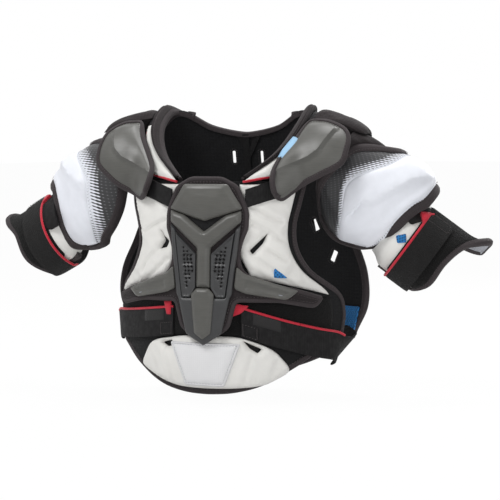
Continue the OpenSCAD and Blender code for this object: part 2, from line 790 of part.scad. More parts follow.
front_liner();
left() chest_pad();  // left_chest_pad
right() chest_pad();  // right_chest_pad
sternum_core();
sternum_base();
sternum_plate();
spine_rib();
spine_tail();
spine_frame();
left() vent_plate();  // left_vent_plate
right() vent_plate();  // right_vent_plate
left() rib_wing();  // left_rib_wing
right() rib_wing();  // right_rib_wing
front_loop_panel();
left() cap_tether();  // left_cap_tether
right() cap_tether();  // right_cap_tether
left() clavicle_pad();  // left_clavicle_pad
right() clavicle_pad();  // right_clavicle_pad
left() collar();  // left_collar
right() collar();  // right_collar
back_collar();
left() yoke();  // left_yoke
right() yoke();  // right_yoke
left() shoulder_top();  // left_shoulder_top
right() shoulder_top();  // right_shoulder_top
back_liner();
left() back_pad();  // left_back_pad
right() back_pad();  // right_back_pad
back_spine_plate();
lower_back_pad();
left() back_mesh(left_fall);  // left_back_mesh
right() back_mesh(right_fall);  // right_back_mesh
belly_base();
belly_pad();
belly_cover();
left() side_strap(left_fall);  // left_side_strap
right() side_strap(right_fall);  // right_side_strap
left() strap_end(left_fall);  // left_strap_end
right() strap_end(right_fall);  // right_strap_end
left() strap_tab(left_fall);  // left_strap_tab
right() strap_tab(right_fall);  // right_strap_tab
left() cap_shell();  // left_cap_shell
right() cap_shell();  // right_cap_shell
left() cap_liner();  // left_cap_liner
right() cap_liner();  // right_cap_liner
left_sleeve() arm_gusset();  // left_arm_gusset
right_sleeve() arm_gusset();  // right_arm_gusset
left_sleeve() bicep_liner();  // left_bicep_liner
right_sleeve() bicep_liner();  // right_bicep_liner
left_sleeve() bicep_plate();  // left_bicep_plate
right_sleeve() bicep_plate();  // right_bicep_plate
left_cuff() arm_guard();  // left_arm_guard
right_cuff() arm_guard();  // right_arm_guard
left_cuff() guard_loop();  // left_guard_loop
right_cuff() guard_loop();  // right_guard_loop
left_cuff() arm_band(strap_round, 20);  // left_arm_strap
right_cuff() arm_band(strap_round, 20);  // right_arm_strap
left_cuff() arm_band(strap_end_round, 6);  // left_arm_strap_end
right_cuff() arm_band(strap_end_round, 6);  // right_arm_strap_end
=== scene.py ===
import math
import bmesh
import bpy
import numpy as np
from mathutils import Matrix, Vector
from mathutils.geometry import delaunay_2d_cdt


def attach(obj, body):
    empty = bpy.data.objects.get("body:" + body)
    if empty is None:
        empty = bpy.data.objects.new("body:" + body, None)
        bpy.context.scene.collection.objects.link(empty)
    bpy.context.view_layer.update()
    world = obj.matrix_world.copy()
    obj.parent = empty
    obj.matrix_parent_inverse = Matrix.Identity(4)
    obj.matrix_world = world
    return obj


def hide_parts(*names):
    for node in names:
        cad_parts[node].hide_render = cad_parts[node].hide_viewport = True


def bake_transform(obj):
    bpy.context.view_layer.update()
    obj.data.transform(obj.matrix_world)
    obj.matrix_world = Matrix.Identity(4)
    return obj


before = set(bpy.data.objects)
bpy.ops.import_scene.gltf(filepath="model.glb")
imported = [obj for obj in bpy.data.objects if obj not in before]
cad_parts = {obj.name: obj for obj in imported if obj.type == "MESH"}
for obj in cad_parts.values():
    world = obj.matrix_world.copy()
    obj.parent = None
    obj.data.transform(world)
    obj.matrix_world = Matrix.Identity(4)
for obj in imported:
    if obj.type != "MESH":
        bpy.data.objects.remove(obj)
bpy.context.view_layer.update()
scene = bpy.context.scene
scene.view_settings.view_transform = "Standard"

MM = 0.001
SIDES = ("left", "right")
FLIP = {"left": np.array([1, 1, 1]), "right": np.array([-1, 1, 1])}

# Layer heights in millimetres above the chest, back, bicep and guard surfaces, as in the frame
LINER, PAD_IN, PAD_OUT, BASE_IN, BASE_OUT = 8, 8.5, 16, 16.5, 22
PLATE_IN, PLATE_OUT = 22.5, 26.5
LOOP_IN, LOOP_OUT, STRAP_IN, STRAP_OUT = 8.75, 11.25, 11.75, 14.25
# Distances of the rings of mesh points inside a padded edge
PAD_RINGS = (1, 2.5, 5)


# Curves
def lerp(a, b, t):
    return a + (b - a) * t


def smooth(x, low, high):
    t = np.clip((x - low) / (high - low), 0, 1)
    return t * t * (3 - 2 * t)


def rise(x, width):
    return np.clip(x / width, 0, 1)


def bump(x, width):
    return np.exp(-((x / width) ** 2))


def arch(a, power):
    return 1 - np.abs(2 * a - 1) ** power


def blend4(a, b, c, d, f):
    return 0.5 * (2 * b + (c - a) * f + (2 * a - 5 * b + 4 * c - d) * f**2 + (3 * b - a - 3 * c + d) * f**3)


def spans(count, t):
    n = count - 1
    s = np.clip(np.asarray(t, float), 0, 1) * n
    i = np.minimum(n - 1, np.floor(s)).astype(int)
    return (np.maximum(i - 1, 0), i, i + 1, np.minimum(n, i + 2)), s - i


def spline(points, t):
    p = np.asarray(points, float)
    at, f = spans(len(p), t)
    return blend4(*(p[i] for i in at), f[..., None] if p.ndim > 1 else f)


def knots(rows, t):
    p, k = np.stack(rows), np.arange(len(t))
    at, f = spans(len(p), t)
    return blend4(*(p[i, k] for i in at), f[:, None])


def pair(x, y):
    return np.column_stack([x, y])


def level(u, start, end, n):
    return pair(np.full(n, float(u)), np.linspace(start, end, n))


def ellipse(rx, ry, n=10):
    turn = np.linspace(0, 2 * np.pi, n, endpoint=False)
    return pair(rx * np.cos(turn), ry * np.sin(turn))


def stack(x, y, z):
    return np.stack(np.broadcast_arrays(x, y, z), -1).astype(float)


def unit(v):
    return v / np.maximum(np.linalg.norm(v, axis=-1, keepdims=True), 1e-9)


# Surfaces of the object, each a function of two surface coordinates and a height
CHEST_Y, CHEST_R, CHEST_WAIST, CHEST_TAPER = 82, 178, -290, 3800
BACK_Y, BACK_R, BACK_TAPER, BACK_WAIST, BACK_RISE = -246, 358, 34, -250, 230
FRONT_LOW, FRONT_TALL = -316, 224
FRONT_W = [164, 166, 160, 132, 117, 114, 119, 124]
FRONT_FLARE = {"left": 0, "right": 13}
BACK_TOP = [-22, -12, 10, -32]
BACK_LOW = [-382, -378, -358, -327]
BACK_W = [150, 165, 158, 172, 190, 191, 168]


def chest_radius(z):
    return CHEST_R - (z - CHEST_WAIST) ** 2 / CHEST_TAPER


def chest(s, z, h):
    r = chest_radius(z)
    return stack((r + h) * np.sin(s / r), CHEST_Y - (r + h) * np.cos(s / r), z)


def chest_arc(x, z, h=0):
    r = chest_radius(np.asarray(z, float))
    return r * np.arcsin(np.asarray(x, float) / (r + h))


def back_radius(z):
    return BACK_R - BACK_TAPER * (np.maximum(0, z - BACK_WAIST) / BACK_RISE) ** 2


def back(s, z, h):
    r = back_radius(z)
    return stack((r + h) * np.sin(s / r), (r + h) * np.cos(s / r) + BACK_Y, z)


def back_arc(x, z):
    r = back_radius(np.asarray(z, float))
    return r * np.arcsin(np.asarray(x, float) / r)


def front_half(z, side="left"):
    return spline(FRONT_W, (z - FRONT_LOW) / FRONT_TALL) + FRONT_FLARE[side] * smooth(z, -190, -116)


def back_top(x):
    return spline(BACK_TOP, np.abs(x) / BACK_W[0])


SHOULDER = np.array([150.0, 24.0, -84.0])
CAP_R, TOP_R, GUSSET_R, GUSSET_FRONT_R = 88, 80.4, 77.8, 77.4
LOBE_X, LOBE_W, LOBE_OUT = 130, 38, 60


# The cap is part of a ball whose inner lobe bends forward over the chest
def cap(x, z, h):
    dx, dz = x - SHOULDER[0], z - SHOULDER[2]
    d = stack(dx, -np.sqrt(np.maximum(1, CAP_R**2 - dx**2 - dz**2)), dz) / CAP_R
    k = (LOBE_X - x) / LOBE_W
    ramp = np.where(k > 0.25, k, np.maximum(0, k + 0.25) ** 2)
    forward = LOBE_OUT * ramp * np.minimum(1, np.maximum(0, (-18 - z) / 90))
    return SHOULDER + d * (CAP_R + h + 0 * x)[..., None] - stack(0 * x, forward, 0 * x)


# A height along the normal of a middle surface, pointing away from a core
def lifted(f, u, v, h, core):
    e = 0.01
    du = f(np.minimum(1, u + e), v) - f(np.maximum(0, u - e), v)
    dv = f(u, np.minimum(1, v + e)) - f(u, np.maximum(0, v - e))
    p, n = f(u, v), unit(np.cross(du, dv))
    n *= np.where(np.sum(n * (p - core), -1) < 0, -1, 1)[:, None]
    return p + n * (h + 0 * u)[:, None]


YOKE_IN = np.array([[82, -45, -56], [101, -8, -20], [103, 37, 4], [92, 62, 5]], float)
YOKE_OUT = np.array([[124, -22, -58], [132, 6, -27], [139, 34, -11], [137, 46, -14]], float)
YOKE_CORE, YOKE_FOOT, YOKE_FRONT_X, YOKE_BACK_X = np.array([110, 30, -160]), -91.4, (46, 120), (76, 132)


def yoke_mid(u, v):
    front_x, back_x = lerp(*YOKE_FRONT_X, u), lerp(*YOKE_BACK_X, u)
    z = YOKE_FOOT + 0 * u
    rows = [chest(chest_arc(front_x, z), z, 0)]
    rows += [lerp(a, b, u[:, None]) for a, b in zip(YOKE_IN, YOKE_OUT)]
    z = back_top(back_x) + 0.6
    return knots(rows + [back(back_arc(back_x, z), z, 0)], v)


def yoke(u, v, h):
    bulge = 4 * np.sin(np.pi * np.clip(u, 0, 1)) * np.sin(np.pi * v)
    return lifted(yoke_mid, u, v, h + bulge, YOKE_CORE)


def ball(r, rise_deg, turn_deg):
    up, turn = np.radians(rise_deg), np.radians(turn_deg)
    return SHOULDER + r * stack(np.cos(turn) * np.cos(up), np.sin(turn), np.cos(turn) * np.sin(up))


def shoulder_mid(u, v):
    turn = lerp(-19, 43, v)
    foot = yoke(0.55 + 0 * v, lerp(0.5, 0.82, v), 8.5)
    return knots([foot, ball(TOP_R, 72, turn), ball(TOP_R, 47, turn)], u)


def shoulder_top(u, v, h):
    return lifted(shoulder_mid, u, v, h, SHOULDER)


def turned(axis, degrees):
    return np.array(Matrix.Rotation(math.radians(degrees), 3, axis))


# Sleeve pose on each side: drop, roll, bend at the elbow and reach of the cuff
POSE = {"left": (42, 7, 5, -8.5), "right": (36, 22, 9, -4)}
ELBOW = np.array([138.0, 0, 60])
ARM_FORWARD = 10
BICEP_ARC, BICEP_WIDE, BICEP_TALL, BICEP_Y, BICEP_Z = 62, 60, 63, 8, 25
BICEP_START, BICEP_LONG, APRON_TURN = -5, 141, math.radians(40)
GUARD_ARC, GUARD_R, GUARD_Y, GUARD_Z = 54, 50, 2, 3
FLARE_FROM, FLARE_LONG, FLARE_OUT = 214, 48, 22
SWELL = [0.8, 0.86, 0.93, 0.98, 1, 0.97, 0.84]
APRON = {"left": [0.86, 1.1, 1.3, 1.35, 1.22, 0.98, 0.52], "right": [0.86, 1.1, 1.3, 1.38, 1.36, 1.26, 1.08]}
FLAT = [1.06, 1.05, 1.02, 1, 1, 0.97, 0.84]


def in_sleeve(p, side):
    drop, roll = POSE[side][:2]
    return (SHOULDER + p @ (turned("Y", drop) @ turned("Z", ARM_FORWARD) @ turned("X", -roll)).T) * FLIP[side]


def in_cuff(p, side):
    bend, reach = POSE[side][2:]
    return in_sleeve(ELBOW + (p + [reach, 0, 0] - ELBOW) @ turned("Y", -bend).T, side)


def bicep(t, a, h, side):
    turn, along = a / BICEP_ARC, (t - BICEP_START) / BICEP_LONG
    k = spline(SWELL, along)
    low = rise(-turn, APRON_TURN)
    wide = BICEP_WIDE * lerp(k, spline(FLAT, along), low)
    tall = BICEP_TALL * lerp(k, spline(APRON[side], along), low)
    return stack(t, BICEP_Y - (wide + h) * np.cos(turn), BICEP_Z + (tall + h) * np.sin(turn))


def round_arm(t, r, turn):
    return stack(t, GUARD_Y - r * np.cos(turn), GUARD_Z + r * np.sin(turn))


def guard(t, a, h):
    flare = FLARE_OUT * (np.maximum(0, t - FLARE_FROM) / FLARE_LONG) ** 2
    return round_arm(t, GUARD_R + h + flare, a / GUARD_ARC)


def mirrored(f, side):
    return lambda a, b, h: f(a, b, h) * FLIP[side]


# Outlines in surface coordinates
def lengths(p):
    return np.concatenate([[0], np.cumsum(np.linalg.norm(np.diff(p, axis=0), axis=1))])


def dense(path, step, closed=True):
    p = np.asarray(path, float)
    out = []
    for a, b in zip(p, np.roll(p, -1, 0) if closed else p[1:]):
        n = max(1, int(math.ceil(np.linalg.norm(b - a) / step)))
        out.append(a + (b - a) * (np.arange(n) / n)[:, None])
    return np.concatenate(out if closed else out + [p[-1:]])


def rounded(path, r, step=2.0):
    p = np.asarray(path, float)
    out = []
    for a, b, c in zip(np.roll(p, 1, 0), p, np.roll(p, -1, 0)):
        la, lc = np.linalg.norm(a - b), np.linalg.norm(c - b)
        ka, kc = min(r, 0.45 * la), min(r, 0.45 * lc)
        s, e = b + (a - b) * ka / la, b + (c - b) * kc / lc
        t = np.linspace(0, 1, max(3, int((ka + kc) / step) + 1))[:, None]
        out.append((1 - t) ** 2 * s + 2 * t * (1 - t) * b + t**2 * e)
    return np.concatenate(out)


def even(path, step, closed=False):
    p = np.asarray(path, float)
    if closed:
        p = np.concatenate([p, p[:1]])
    s = lengths(p)
    n = max(2, int(round(s[-1] / step)))
    t = np.linspace(0, s[-1], n + 1)[: n if closed else n + 1]
    return np.stack([np.interp(t, s, p[:, i]) for i in range(p.shape[1])], -1)


def curve(path, step, closed=False):
    p = np.asarray(path, float)
    start, end = 0, 1
    if closed:
        p = np.concatenate([p[-2:], p, p[:2]])
        n = len(p) - 1
        start, end = 2 / n, (n - 1) / n
    fine = spline(p, np.linspace(start, end, 40 * len(p)))
    return even(fine[:-1] if closed else fine, step, closed)


def both(half):
    h = np.asarray(half, float)
    return np.concatenate([h, [[-x, z] for x, z in h[::-1] if x > 0]])


def on_front(path, h):
    p = np.asarray(path, float)
    return np.stack([chest_arc(p[:, 0], p[:, 1], h), p[:, 1]], -1)


def on_rear(path):
    p = np.asarray(path, float)
    return np.stack([back_arc(p[:, 0], p[:, 1]), p[:, 1]], -1)


def distance(points, path, closed=True):
    a = np.asarray(path, float)
    b = np.roll(a, -1, 0) if closed else a[1:]
    a = a if closed else a[:-1]
    best = np.full(len(points), 1e9)
    for i in range(0, len(a), 64):
        p, d = points[:, None] - a[None, i : i + 64], (b - a)[None, i : i + 64]
        t = np.clip(np.sum(p * d, -1) / np.maximum(np.sum(d * d, -1), 1e-9), 0, 1)
        best = np.minimum(best, np.linalg.norm(p - d * t[..., None], axis=-1).min(1))
    return best


def inside(points, path):
    a = np.asarray(path, float)
    b = np.roll(a, -1, 0)
    x, y = points[:, 0, None], points[:, 1, None]
    cross = (a[:, 1] > y) != (b[:, 1] > y)
    at = a[:, 0] + (y - a[:, 1]) * (b[:, 0] - a[:, 0]) / np.where(b[:, 1] == a[:, 1], 1e-9, b[:, 1] - a[:, 1])
    return (cross & (x < at)).sum(1) % 2 == 1


def signed(points, path):
    return np.where(inside(points, path), 1, -1) * distance(points, path)


def inward(path):
    p = np.asarray(path, float)
    d = np.roll(p, -1, 0) - np.roll(p, 1, 0)
    n = unit(np.stack([-d[:, 1], d[:, 0]], -1))
    area = np.sum(p[:, 0] * np.roll(p[:, 1], -1) - np.roll(p[:, 0], -1) * p[:, 1])
    return n if area > 0 else -n


# Mesh builders: each gives vertices, faces, cloth coordinates, edge distance and a fade
class Bit:
    def __init__(self, verts, faces, cloth, edge, pin=None, inner=None, fade=None):
        n = len(verts)
        self.verts, self.faces, self.cloth, self.edge = verts, faces, cloth, edge
        self.pin = np.ones(n) if pin is None else pin
        self.inner = np.zeros(len(faces), int) if inner is None else inner
        self.fade = np.zeros(n) if fade is None else fade


def joined(bits):
    start = np.cumsum([0] + [len(b.verts) for b in bits])
    faces = [[i + s for i in f] for b, s in zip(bits, start) for f in b.faces]
    glue = lambda key: np.concatenate([getattr(b, key) for b in bits])
    return Bit(glue("verts"), faces, glue("cloth"), glue("edge"), glue("pin"), glue("inner"), glue("fade"))


def heights(given, a, b):
    return given(a, b) if callable(given) else np.full(len(a), float(given))


def two_sided(outer, under, skin, lining, rim, flat, d, fade=None):
    n = len(outer)
    walls = [[i, j, j + n, i + n] for i, j in rim]
    faces = skin + [[i + n for i in f] for f in lining] + walls
    cloth = np.tile(np.column_stack([flat, np.zeros(n)]), (2, 1))
    pin = np.concatenate([smooth(-d, -2.5, -0.5), np.ones(n)])
    inner = np.repeat([0, 1, 0], [len(skin), len(lining), len(walls)])
    return Bit(np.concatenate([outer, under]), faces, cloth, np.tile(d, 2), pin, inner, fade)


# A shell over an outline, meshed at a grid step, with rings of points inside its edge
def plate(surf, outline, low, top, step=5, rings=(1, 2.5), holes=(), creases=(), fade=None):
    rim, holes = dense(outline, step), [np.asarray(h, float) for h in holes]
    loops, lines = [rim, *holes], [dense(c, step, False) for c in creases]
    points, edges = [], []
    for k, path in enumerate(loops + lines):
        first, n = sum(len(p) for p in points), len(path)
        edges += [(first + i, first + (i + 1) % n) for i in range(n if k < len(loops) else n - 1)]
        points.append(path)
    for r in rings:
        ring = rim + inward(rim) * r
        points.append(ring[inside(ring, rim) & (distance(ring, rim) > 0.85 * r)])
    (x0, y0), (x1, y1) = rim.min(0), rim.max(0)
    rows = enumerate(np.arange(y0, y1, step * 0.87))
    grid = np.array([(x + (step / 2 if j % 2 else 0), y) for j, y in rows for x in np.arange(x0, x1, step)])
    ok = inside(grid, rim) & (distance(grid, rim) > (rings[-1] if rings else 0) + 0.45 * step)
    for hole in holes:
        ok &= ~inside(grid, hole) & (distance(grid, hole) > 0.35 * step)
    for line in lines:
        ok &= distance(grid, line, False) > 0.45 * step
    points.append(grid[ok])
    found = delaunay_2d_cdt([Vector(p) for p in np.concatenate(points)], edges, [], 0, 1e-5)
    p, tris = np.array([tuple(v) for v in found[0]]), np.array(found[2])
    mid = p[tris].mean(1)
    keep = inside(mid, rim)
    for hole in holes:
        keep &= ~inside(mid, hole)
    used, tris = np.unique(tris[keep], return_inverse=True)
    p, skin = p[used], tris.reshape(-1, 3).tolist()
    d = np.min([distance(p, path) for path in loops], axis=0)
    outer = surf(p[:, 0], p[:, 1], heights(top, p, d))
    under = surf(p[:, 0], p[:, 1], heights(low, p, d))
    sides = dict.fromkeys((t[i], t[(i + 1) % 3]) for t in skin for i in range(3))
    free = [(i, j) for i, j in sides if (j, i) not in sides]
    shade = None if fade is None else np.tile(fade(p), 2)
    return two_sided(outer, under, skin, [[a, c, b] for a, b, c in skin], free, p, d, shade)


# A shell over a rectangle of surface coordinates, in nu by nv cells
def sheet(f, nu, nv, low, top, u=(0, 1), v=(0, 1)):
    us, vs = np.meshgrid(np.linspace(*u, nu + 1), np.linspace(*v, nv + 1), indexing="ij")
    uu, vv = us.ravel(), vs.ravel()
    a, b = (uu - u[0]) / (u[1] - u[0]), (vv - v[0]) / (v[1] - v[0])
    outer, under = f(uu, vv, heights(top, a, b)), f(uu, vv, heights(low, a, b))
    g = outer.reshape(nu + 1, nv + 1, 3)
    wide = np.linalg.norm(np.diff(g, axis=0), axis=-1).sum(0).mean()
    long = np.linalg.norm(np.diff(g, axis=1), axis=-1).sum(1).mean()
    at = lambda i, j: i * (nv + 1) + j
    quads = [[at(i, j), at(i + 1, j), at(i + 1, j + 1), at(i, j + 1)] for i in range(nu) for j in range(nv)]
    rim = [at(i, 0) for i in range(nu)] + [at(nu, j) for j in range(nv)]
    rim += [at(i, nv) for i in range(nu, 0, -1)] + [at(0, j) for j in range(nv, 0, -1)]
    d = np.minimum(np.minimum(a, 1 - a) * wide, np.minimum(b, 1 - b) * long)
    rim_edges = zip(rim, rim[1:] + rim[:1])
    bit = two_sided(outer, under, quads, [q[::-1] for q in quads], rim_edges, pair(a * wide, b * long), d)
    bit.size = (wide, long)
    return bit


# A section carried along a path, and the axes of a path on a surface
def sweep(p, across, up, section, closed=False):
    section = np.asarray(section, float)
    m, n = len(section), len(p)
    verts = p[:, None] + across[:, None] * section[None, :, :1] + up[:, None] * section[None, :, 1:]
    faces = []
    for i in range(n if closed else n - 1):
        a, b = i * m, (i + 1) % n * m
        faces += [[a + j, a + (j + 1) % m, b + (j + 1) % m, b + j] for j in range(m)]
    if not closed:
        faces += [list(range(m)), list(range((n - 1) * m, n * m))[::-1]]
    cloth = np.column_stack([np.tile(lengths(section), n), np.repeat(lengths(p), m), np.zeros(n * m)])
    return Bit(verts.reshape(-1, 3), faces, cloth, np.full(n * m, 5.0))


def framed(surf, path, h, closed=True, sign=1):
    path = np.asarray(path, float)
    d = np.gradient(path, axis=0)
    side = inward(path) if closed else sign * unit(np.stack([-d[:, 1], d[:, 0]], -1))
    h = h + 0 * path[:, 0]
    p = surf(path[:, 0], path[:, 1], h)
    up = unit(surf(path[:, 0], path[:, 1], h + 1) - p)
    q = surf(path[:, 0] + 0.02 * side[:, 0], path[:, 1] + 0.02 * side[:, 1], h) - p
    across = unit(q - up * np.sum(q * up, -1, keepdims=True))
    return p, across, up


# Edge tape, piping and webbing
def binding(surf, path, low, high, w, closed=True, sign=1, step=4, puff=1.3, out=1.7):
    p, across, up = framed(surf, even(path, step, closed), low, closed, sign)
    t = high - low
    section = [(w, t - 0.4), (w - 0.4, t + 0.7), (w * 0.5, t + puff), (0.4, t + 0.7), (-0.76 * out, t * 0.72),
               (-out, t * 0.5), (-0.76 * out, t * 0.28), (0.4, -0.6), (w * 0.5, -0.9), (w - 0.4, -0.6), (w, 0.3)]
    return sweep(p, across, up, section, closed)


def cord(surf, path, h, rx, ry):
    h = np.full(len(path), float(h))
    p = surf(path[:, 0], path[:, 1], h)
    up = unit(surf(path[:, 0], path[:, 1], h + 1) - p)
    across = unit(np.cross(np.gradient(p, axis=0), up))
    return sweep(p, across, up, ellipse(rx, ry))


def band(surf, path, low, high, w):
    p, across, up = framed(surf, even(path, 4), low, False)
    t = high - low
    section = [(0, 0), (0, t * 0.6), (0.8, t), (w / 2, t + 0.25), (w - 0.8, t), (w, t * 0.6), (w, 0)]
    return sweep(p, across, up, section)


# Rows of thread, kept by body and shade until all are made
THREADS = {}
THREAD_RING = [(0.8, 0), (0, 1), (-0.8, 0), (0, -0.6)]


def stitches(body, surf, path, h, closed=False, pitch=4.4, length=3.0, r=0.45, shade="thread"):
    p, across, up = framed(surf, even(path, pitch, closed), h, closed)
    along = unit(np.cross(across, up))
    verts, faces = [], []
    for i, (c, a, u, t) in enumerate(zip(p, across, up, along)):
        k = 10 * i
        verts.append(c - t * length / 2)
        for e in (-0.28, 0.28):
            verts += [c + t * length * e + (a * x + u * y) * r for x, y in THREAD_RING]
        verts.append(c + t * length / 2)
        for j in range(4):
            near, far, n = k + 1 + j, k + 5 + j, (j + 1) % 4
            faces += [[k, k + 1 + n, near], [near, k + 1 + n, k + 5 + n, far], [k + 9, far, k + 5 + n]]
    verts = np.array(verts)
    THREADS.setdefault((body, shade), []).append(Bit(verts, faces, verts.copy(), np.full(len(verts), 5.0)))


# Node trees, all procedural
class Graph:
    def __init__(self, owner):
        owner.use_nodes = True
        self.tree = owner.node_tree
        self.tree.nodes.clear()

    def put(self, socket, value):
        if hasattr(value, "is_linked"):
            self.tree.links.new(value, socket)
        else:
            socket.default_value = value

    def node(self, kind, *values, **named):
        n = self.tree.nodes.new("ShaderNode" + kind)
        for key, value in named.items():
            if key[0].islower():
                setattr(n, key, value)
            else:
                self.put(n.inputs[key.replace("_", " ")], value)
        for socket, value in zip(n.inputs, values):
            self.put(socket, value)
        return n

    def math(self, op, *values):
        return self.node("Math", *values, operation=op).outputs[0]

    def mix_shaders(self, fac, a, b):
        return self.node("MixShader", fac, a, b).outputs[0]

    def seen(self):
        path = self.node("LightPath").outputs
        bounced = self.math("MAXIMUM", path["Is Glossy Ray"], path["Is Transmission Ray"])
        return self.math("MAXIMUM", path["Is Camera Ray"], bounced)


def tone(colour, k):
    return tuple(min(1, c * k) for c in colour)


class Mat(Graph):
    def __init__(self, name, base, **constants):
        self.mat, self.base = bpy.data.materials.new(name), base
        super().__init__(self.mat)
        self.out = self.node("OutputMaterial")
        self.bsdf = self.node("BsdfPrincipled", **constants)
        self.put(self.out.inputs["Surface"], self.bsdf.outputs[0])

    def attr(self, name, out="Fac"):
        return self.node("Attribute", attribute_name=name).outputs[out]

    def mapped(self, vector, scale, turn=0.0):
        return self.node("Mapping", Vector=vector, Scale=scale, Rotation=(0, 0, turn)).outputs[0]

    def cloth(self, scale=(1, 1, 1), turn=0.0):
        return self.mapped(self.attr("cloth", "Vector"), scale, turn)

    def space(self, scale=1000.0):
        return self.mapped(self.node("TexCoord").outputs["Object"], (scale, scale, scale))

    def noise(self, vector, scale, detail=3.0):
        return self.node("TexNoise", Vector=vector, Scale=scale, Detail=detail, Roughness=0.55).outputs["Fac"]

    def ramp(self, value, low, high, a=0.0, b=1.0):
        return self.node("MapRange", value, low, high, a, b, interpolation_type="SMOOTHSTEP").outputs[0]

    def wave(self, vector, axis, pitch):
        along = self.node("SeparateXYZ", vector).outputs[axis]
        sine = self.math("SINE", self.math("MULTIPLY", along, 2 * math.pi / pitch))
        return self.math("MULTIPLY_ADD", sine, 0.5, 0.5)

    # Each colour is a socket, a triple, or a number for that tone of the base colour
    def mix(self, fac, a, b):
        n = self.node("Mix", fac, data_type="RGBA")
        for socket, c in zip(n.inputs[6:8], (a, b)):
            c = tone(self.base, c) if isinstance(c, (int, float)) else c
            self.put(socket, (*c, 1) if isinstance(c, tuple) else c)
        return n.outputs[2]

    def done(self, colour, rough, strength, reach, *layers):
        height = self.math("MULTIPLY", *layers[0])
        for layer in layers[1:]:
            height = self.math("ADD", height, self.math("MULTIPLY", *layer))
        relief = self.node("Bump", Strength=strength, Distance=reach, Height=height).outputs[0]
        for key, value in (("Base Color", colour), ("Roughness", rough), ("Normal", relief)):
            self.put(self.bsdf.inputs[key], value)
        return self.mat


def moulded(name, colour, rough=0.37):
    m = Mat(name, colour, Specular_IOR_Level=0.45, Coat_Weight=0.08, Coat_Roughness=0.35)
    fine, broad = m.noise(m.cloth((0.05, 1.6, 1), 0.5), 1.0), m.noise(m.cloth(), 0.035, 2)
    grain = m.noise(m.cloth(), 1.3, 2)
    # Edges lighter in patches: partly rubbed wear, partly a painted highlight along the moulded bevels
    wear_and_edge_highlight = m.math("MULTIPLY", m.ramp(m.attr("edge"), 0.2, 2.6, 1, 0), m.ramp(grain, 0.35, 0.7))
    c = m.mix(m.ramp(fine, 0.3, 0.7), 0.84, 1.14)
    c = m.mix(m.ramp(broad, 0.35, 0.7, 0, 0.35), c, 1.3)
    c = m.mix(m.math("MULTIPLY", wear_and_edge_highlight, 0.5), c, 2.2)
    return m.done(c, m.ramp(fine, 0.25, 0.75, rough - 0.06, rough + 0.1), 0.3, 0.0003, (fine, 0.5), (grain, 0.35))


def fabric(name, colour, rough, pitch, depth, vary, sheen):
    m = Mat(name, colour, Sheen_Weight=sheen, Sheen_Roughness=0.5, Specular_IOR_Level=0.2)
    v = m.cloth()
    warp = m.math("MULTIPLY", m.wave(v, 0, pitch), m.wave(v, 1, 2 * pitch))
    weft = m.math("MULTIPLY", m.wave(v, 1, pitch), m.wave(v, 0, 2 * pitch))
    weave, mid = m.math("MAXIMUM", warp, weft), m.noise(v, 0.35)
    c = m.mix(weave, 1 - vary, 1 + vary)
    c = m.mix(m.ramp(m.noise(v, 0.03), 0.35, 0.7, 0, 0.5), c, 1 - 1.4 * vary)
    # Painted shade: darker within 4 mm of the piece's edge, where it dips beside the binding
    c = m.mix(m.ramp(m.attr("edge"), 0.3, 4, 0.35, 0), c, 0.6)
    return m.done(c, m.ramp(mid, 0.3, 0.7, rough - 0.08, rough + 0.08), 0.6, 0.0006, (weave, depth), (mid, 0.8))


def rib(name, colour, pitch=1.9, rough=0.8, along=0):
    m = Mat(name, colour, Sheen_Weight=0.03, Sheen_Roughness=0.5, Specular_IOR_Level=0.2)
    v = m.cloth()
    line, thread = m.wave(v, along, pitch), m.wave(v, 1 - along, pitch * 0.55)
    mid = m.noise(v, 0.12, 4)
    c = m.mix(m.ramp(mid, 0.35, 0.7, 0, 0.4), m.mix(line, 0.7, 1.25), 0.75)
    return m.done(c, m.ramp(mid, 0.3, 0.7, rough - 0.1, rough + 0.08), 0.7, 0.0006, (line, 0.7), (thread, 0.3))


def fuzzy(name, colour):
    m = Mat(name, colour, Sheen_Weight=0.06, Sheen_Roughness=0.6, Specular_IOR_Level=0.1)
    v = m.cloth()
    broad, fine = m.noise(v, 0.07, 4), m.noise(v, 1.8)
    tuft = m.node("TexVoronoi", Vector=v, Scale=0.65).outputs["Distance"]
    c = m.mix(m.ramp(broad, 0.35, 0.65, 0, 0.6), m.mix(m.ramp(fine, 0.3, 0.75), 0.55, 1.7), 0.8)
    return m.done(c, m.ramp(fine, 0.2, 0.8, 0.85, 1.0), 0.9, 0.0012, (tuft, 0.8), (fine, 0.7))


def foam(name, colour, rough=0.6):
    m = Mat(name, colour, Specular_IOR_Level=0.4)
    v = m.cloth()
    pore, broad, mid = m.noise(v, 1.6, 2), m.noise(v, 0.02), m.noise(v, 0.12)
    # Painted shade: the foam is darker within 5 mm of its edge, where the pad rolls down to the binding
    c = m.mix(m.ramp(m.attr("edge"), 0.2, 5, 0.55, 0), m.mix(m.ramp(broad, 0.3, 0.7), 0.95, 1), 0.8)
    c = m.mix(m.ramp(mid, 0.45, 0.75, 0, 0.25), c, 0.93)
    return m.done(c, m.ramp(mid, 0.3, 0.7, rough - 0.08, rough + 0.08), 0.35, 0.0006, (pore, 0.25), (mid, 1.0))


def netting(name, colour):
    m = Mat(name, colour, Sheen_Weight=0.15, Specular_IOR_Level=0.35)
    v = m.cloth((1, 0.8, 1), 0.78)
    hole = m.math("MULTIPLY", m.wave(v, 0, 3.4), m.wave(v, 1, 3.4))
    broad = m.noise(m.cloth(), 0.08)
    c = m.mix(m.ramp(broad, 0.3, 0.7, 0, 0.35), m.mix(m.ramp(hole, 0.25, 0.55), 1.25, 0.25), 0.6)
    return m.done(c, m.ramp(broad, 0.3, 0.7, 0.5, 0.75), 0.8, 0.0008, (hole, -1.0))


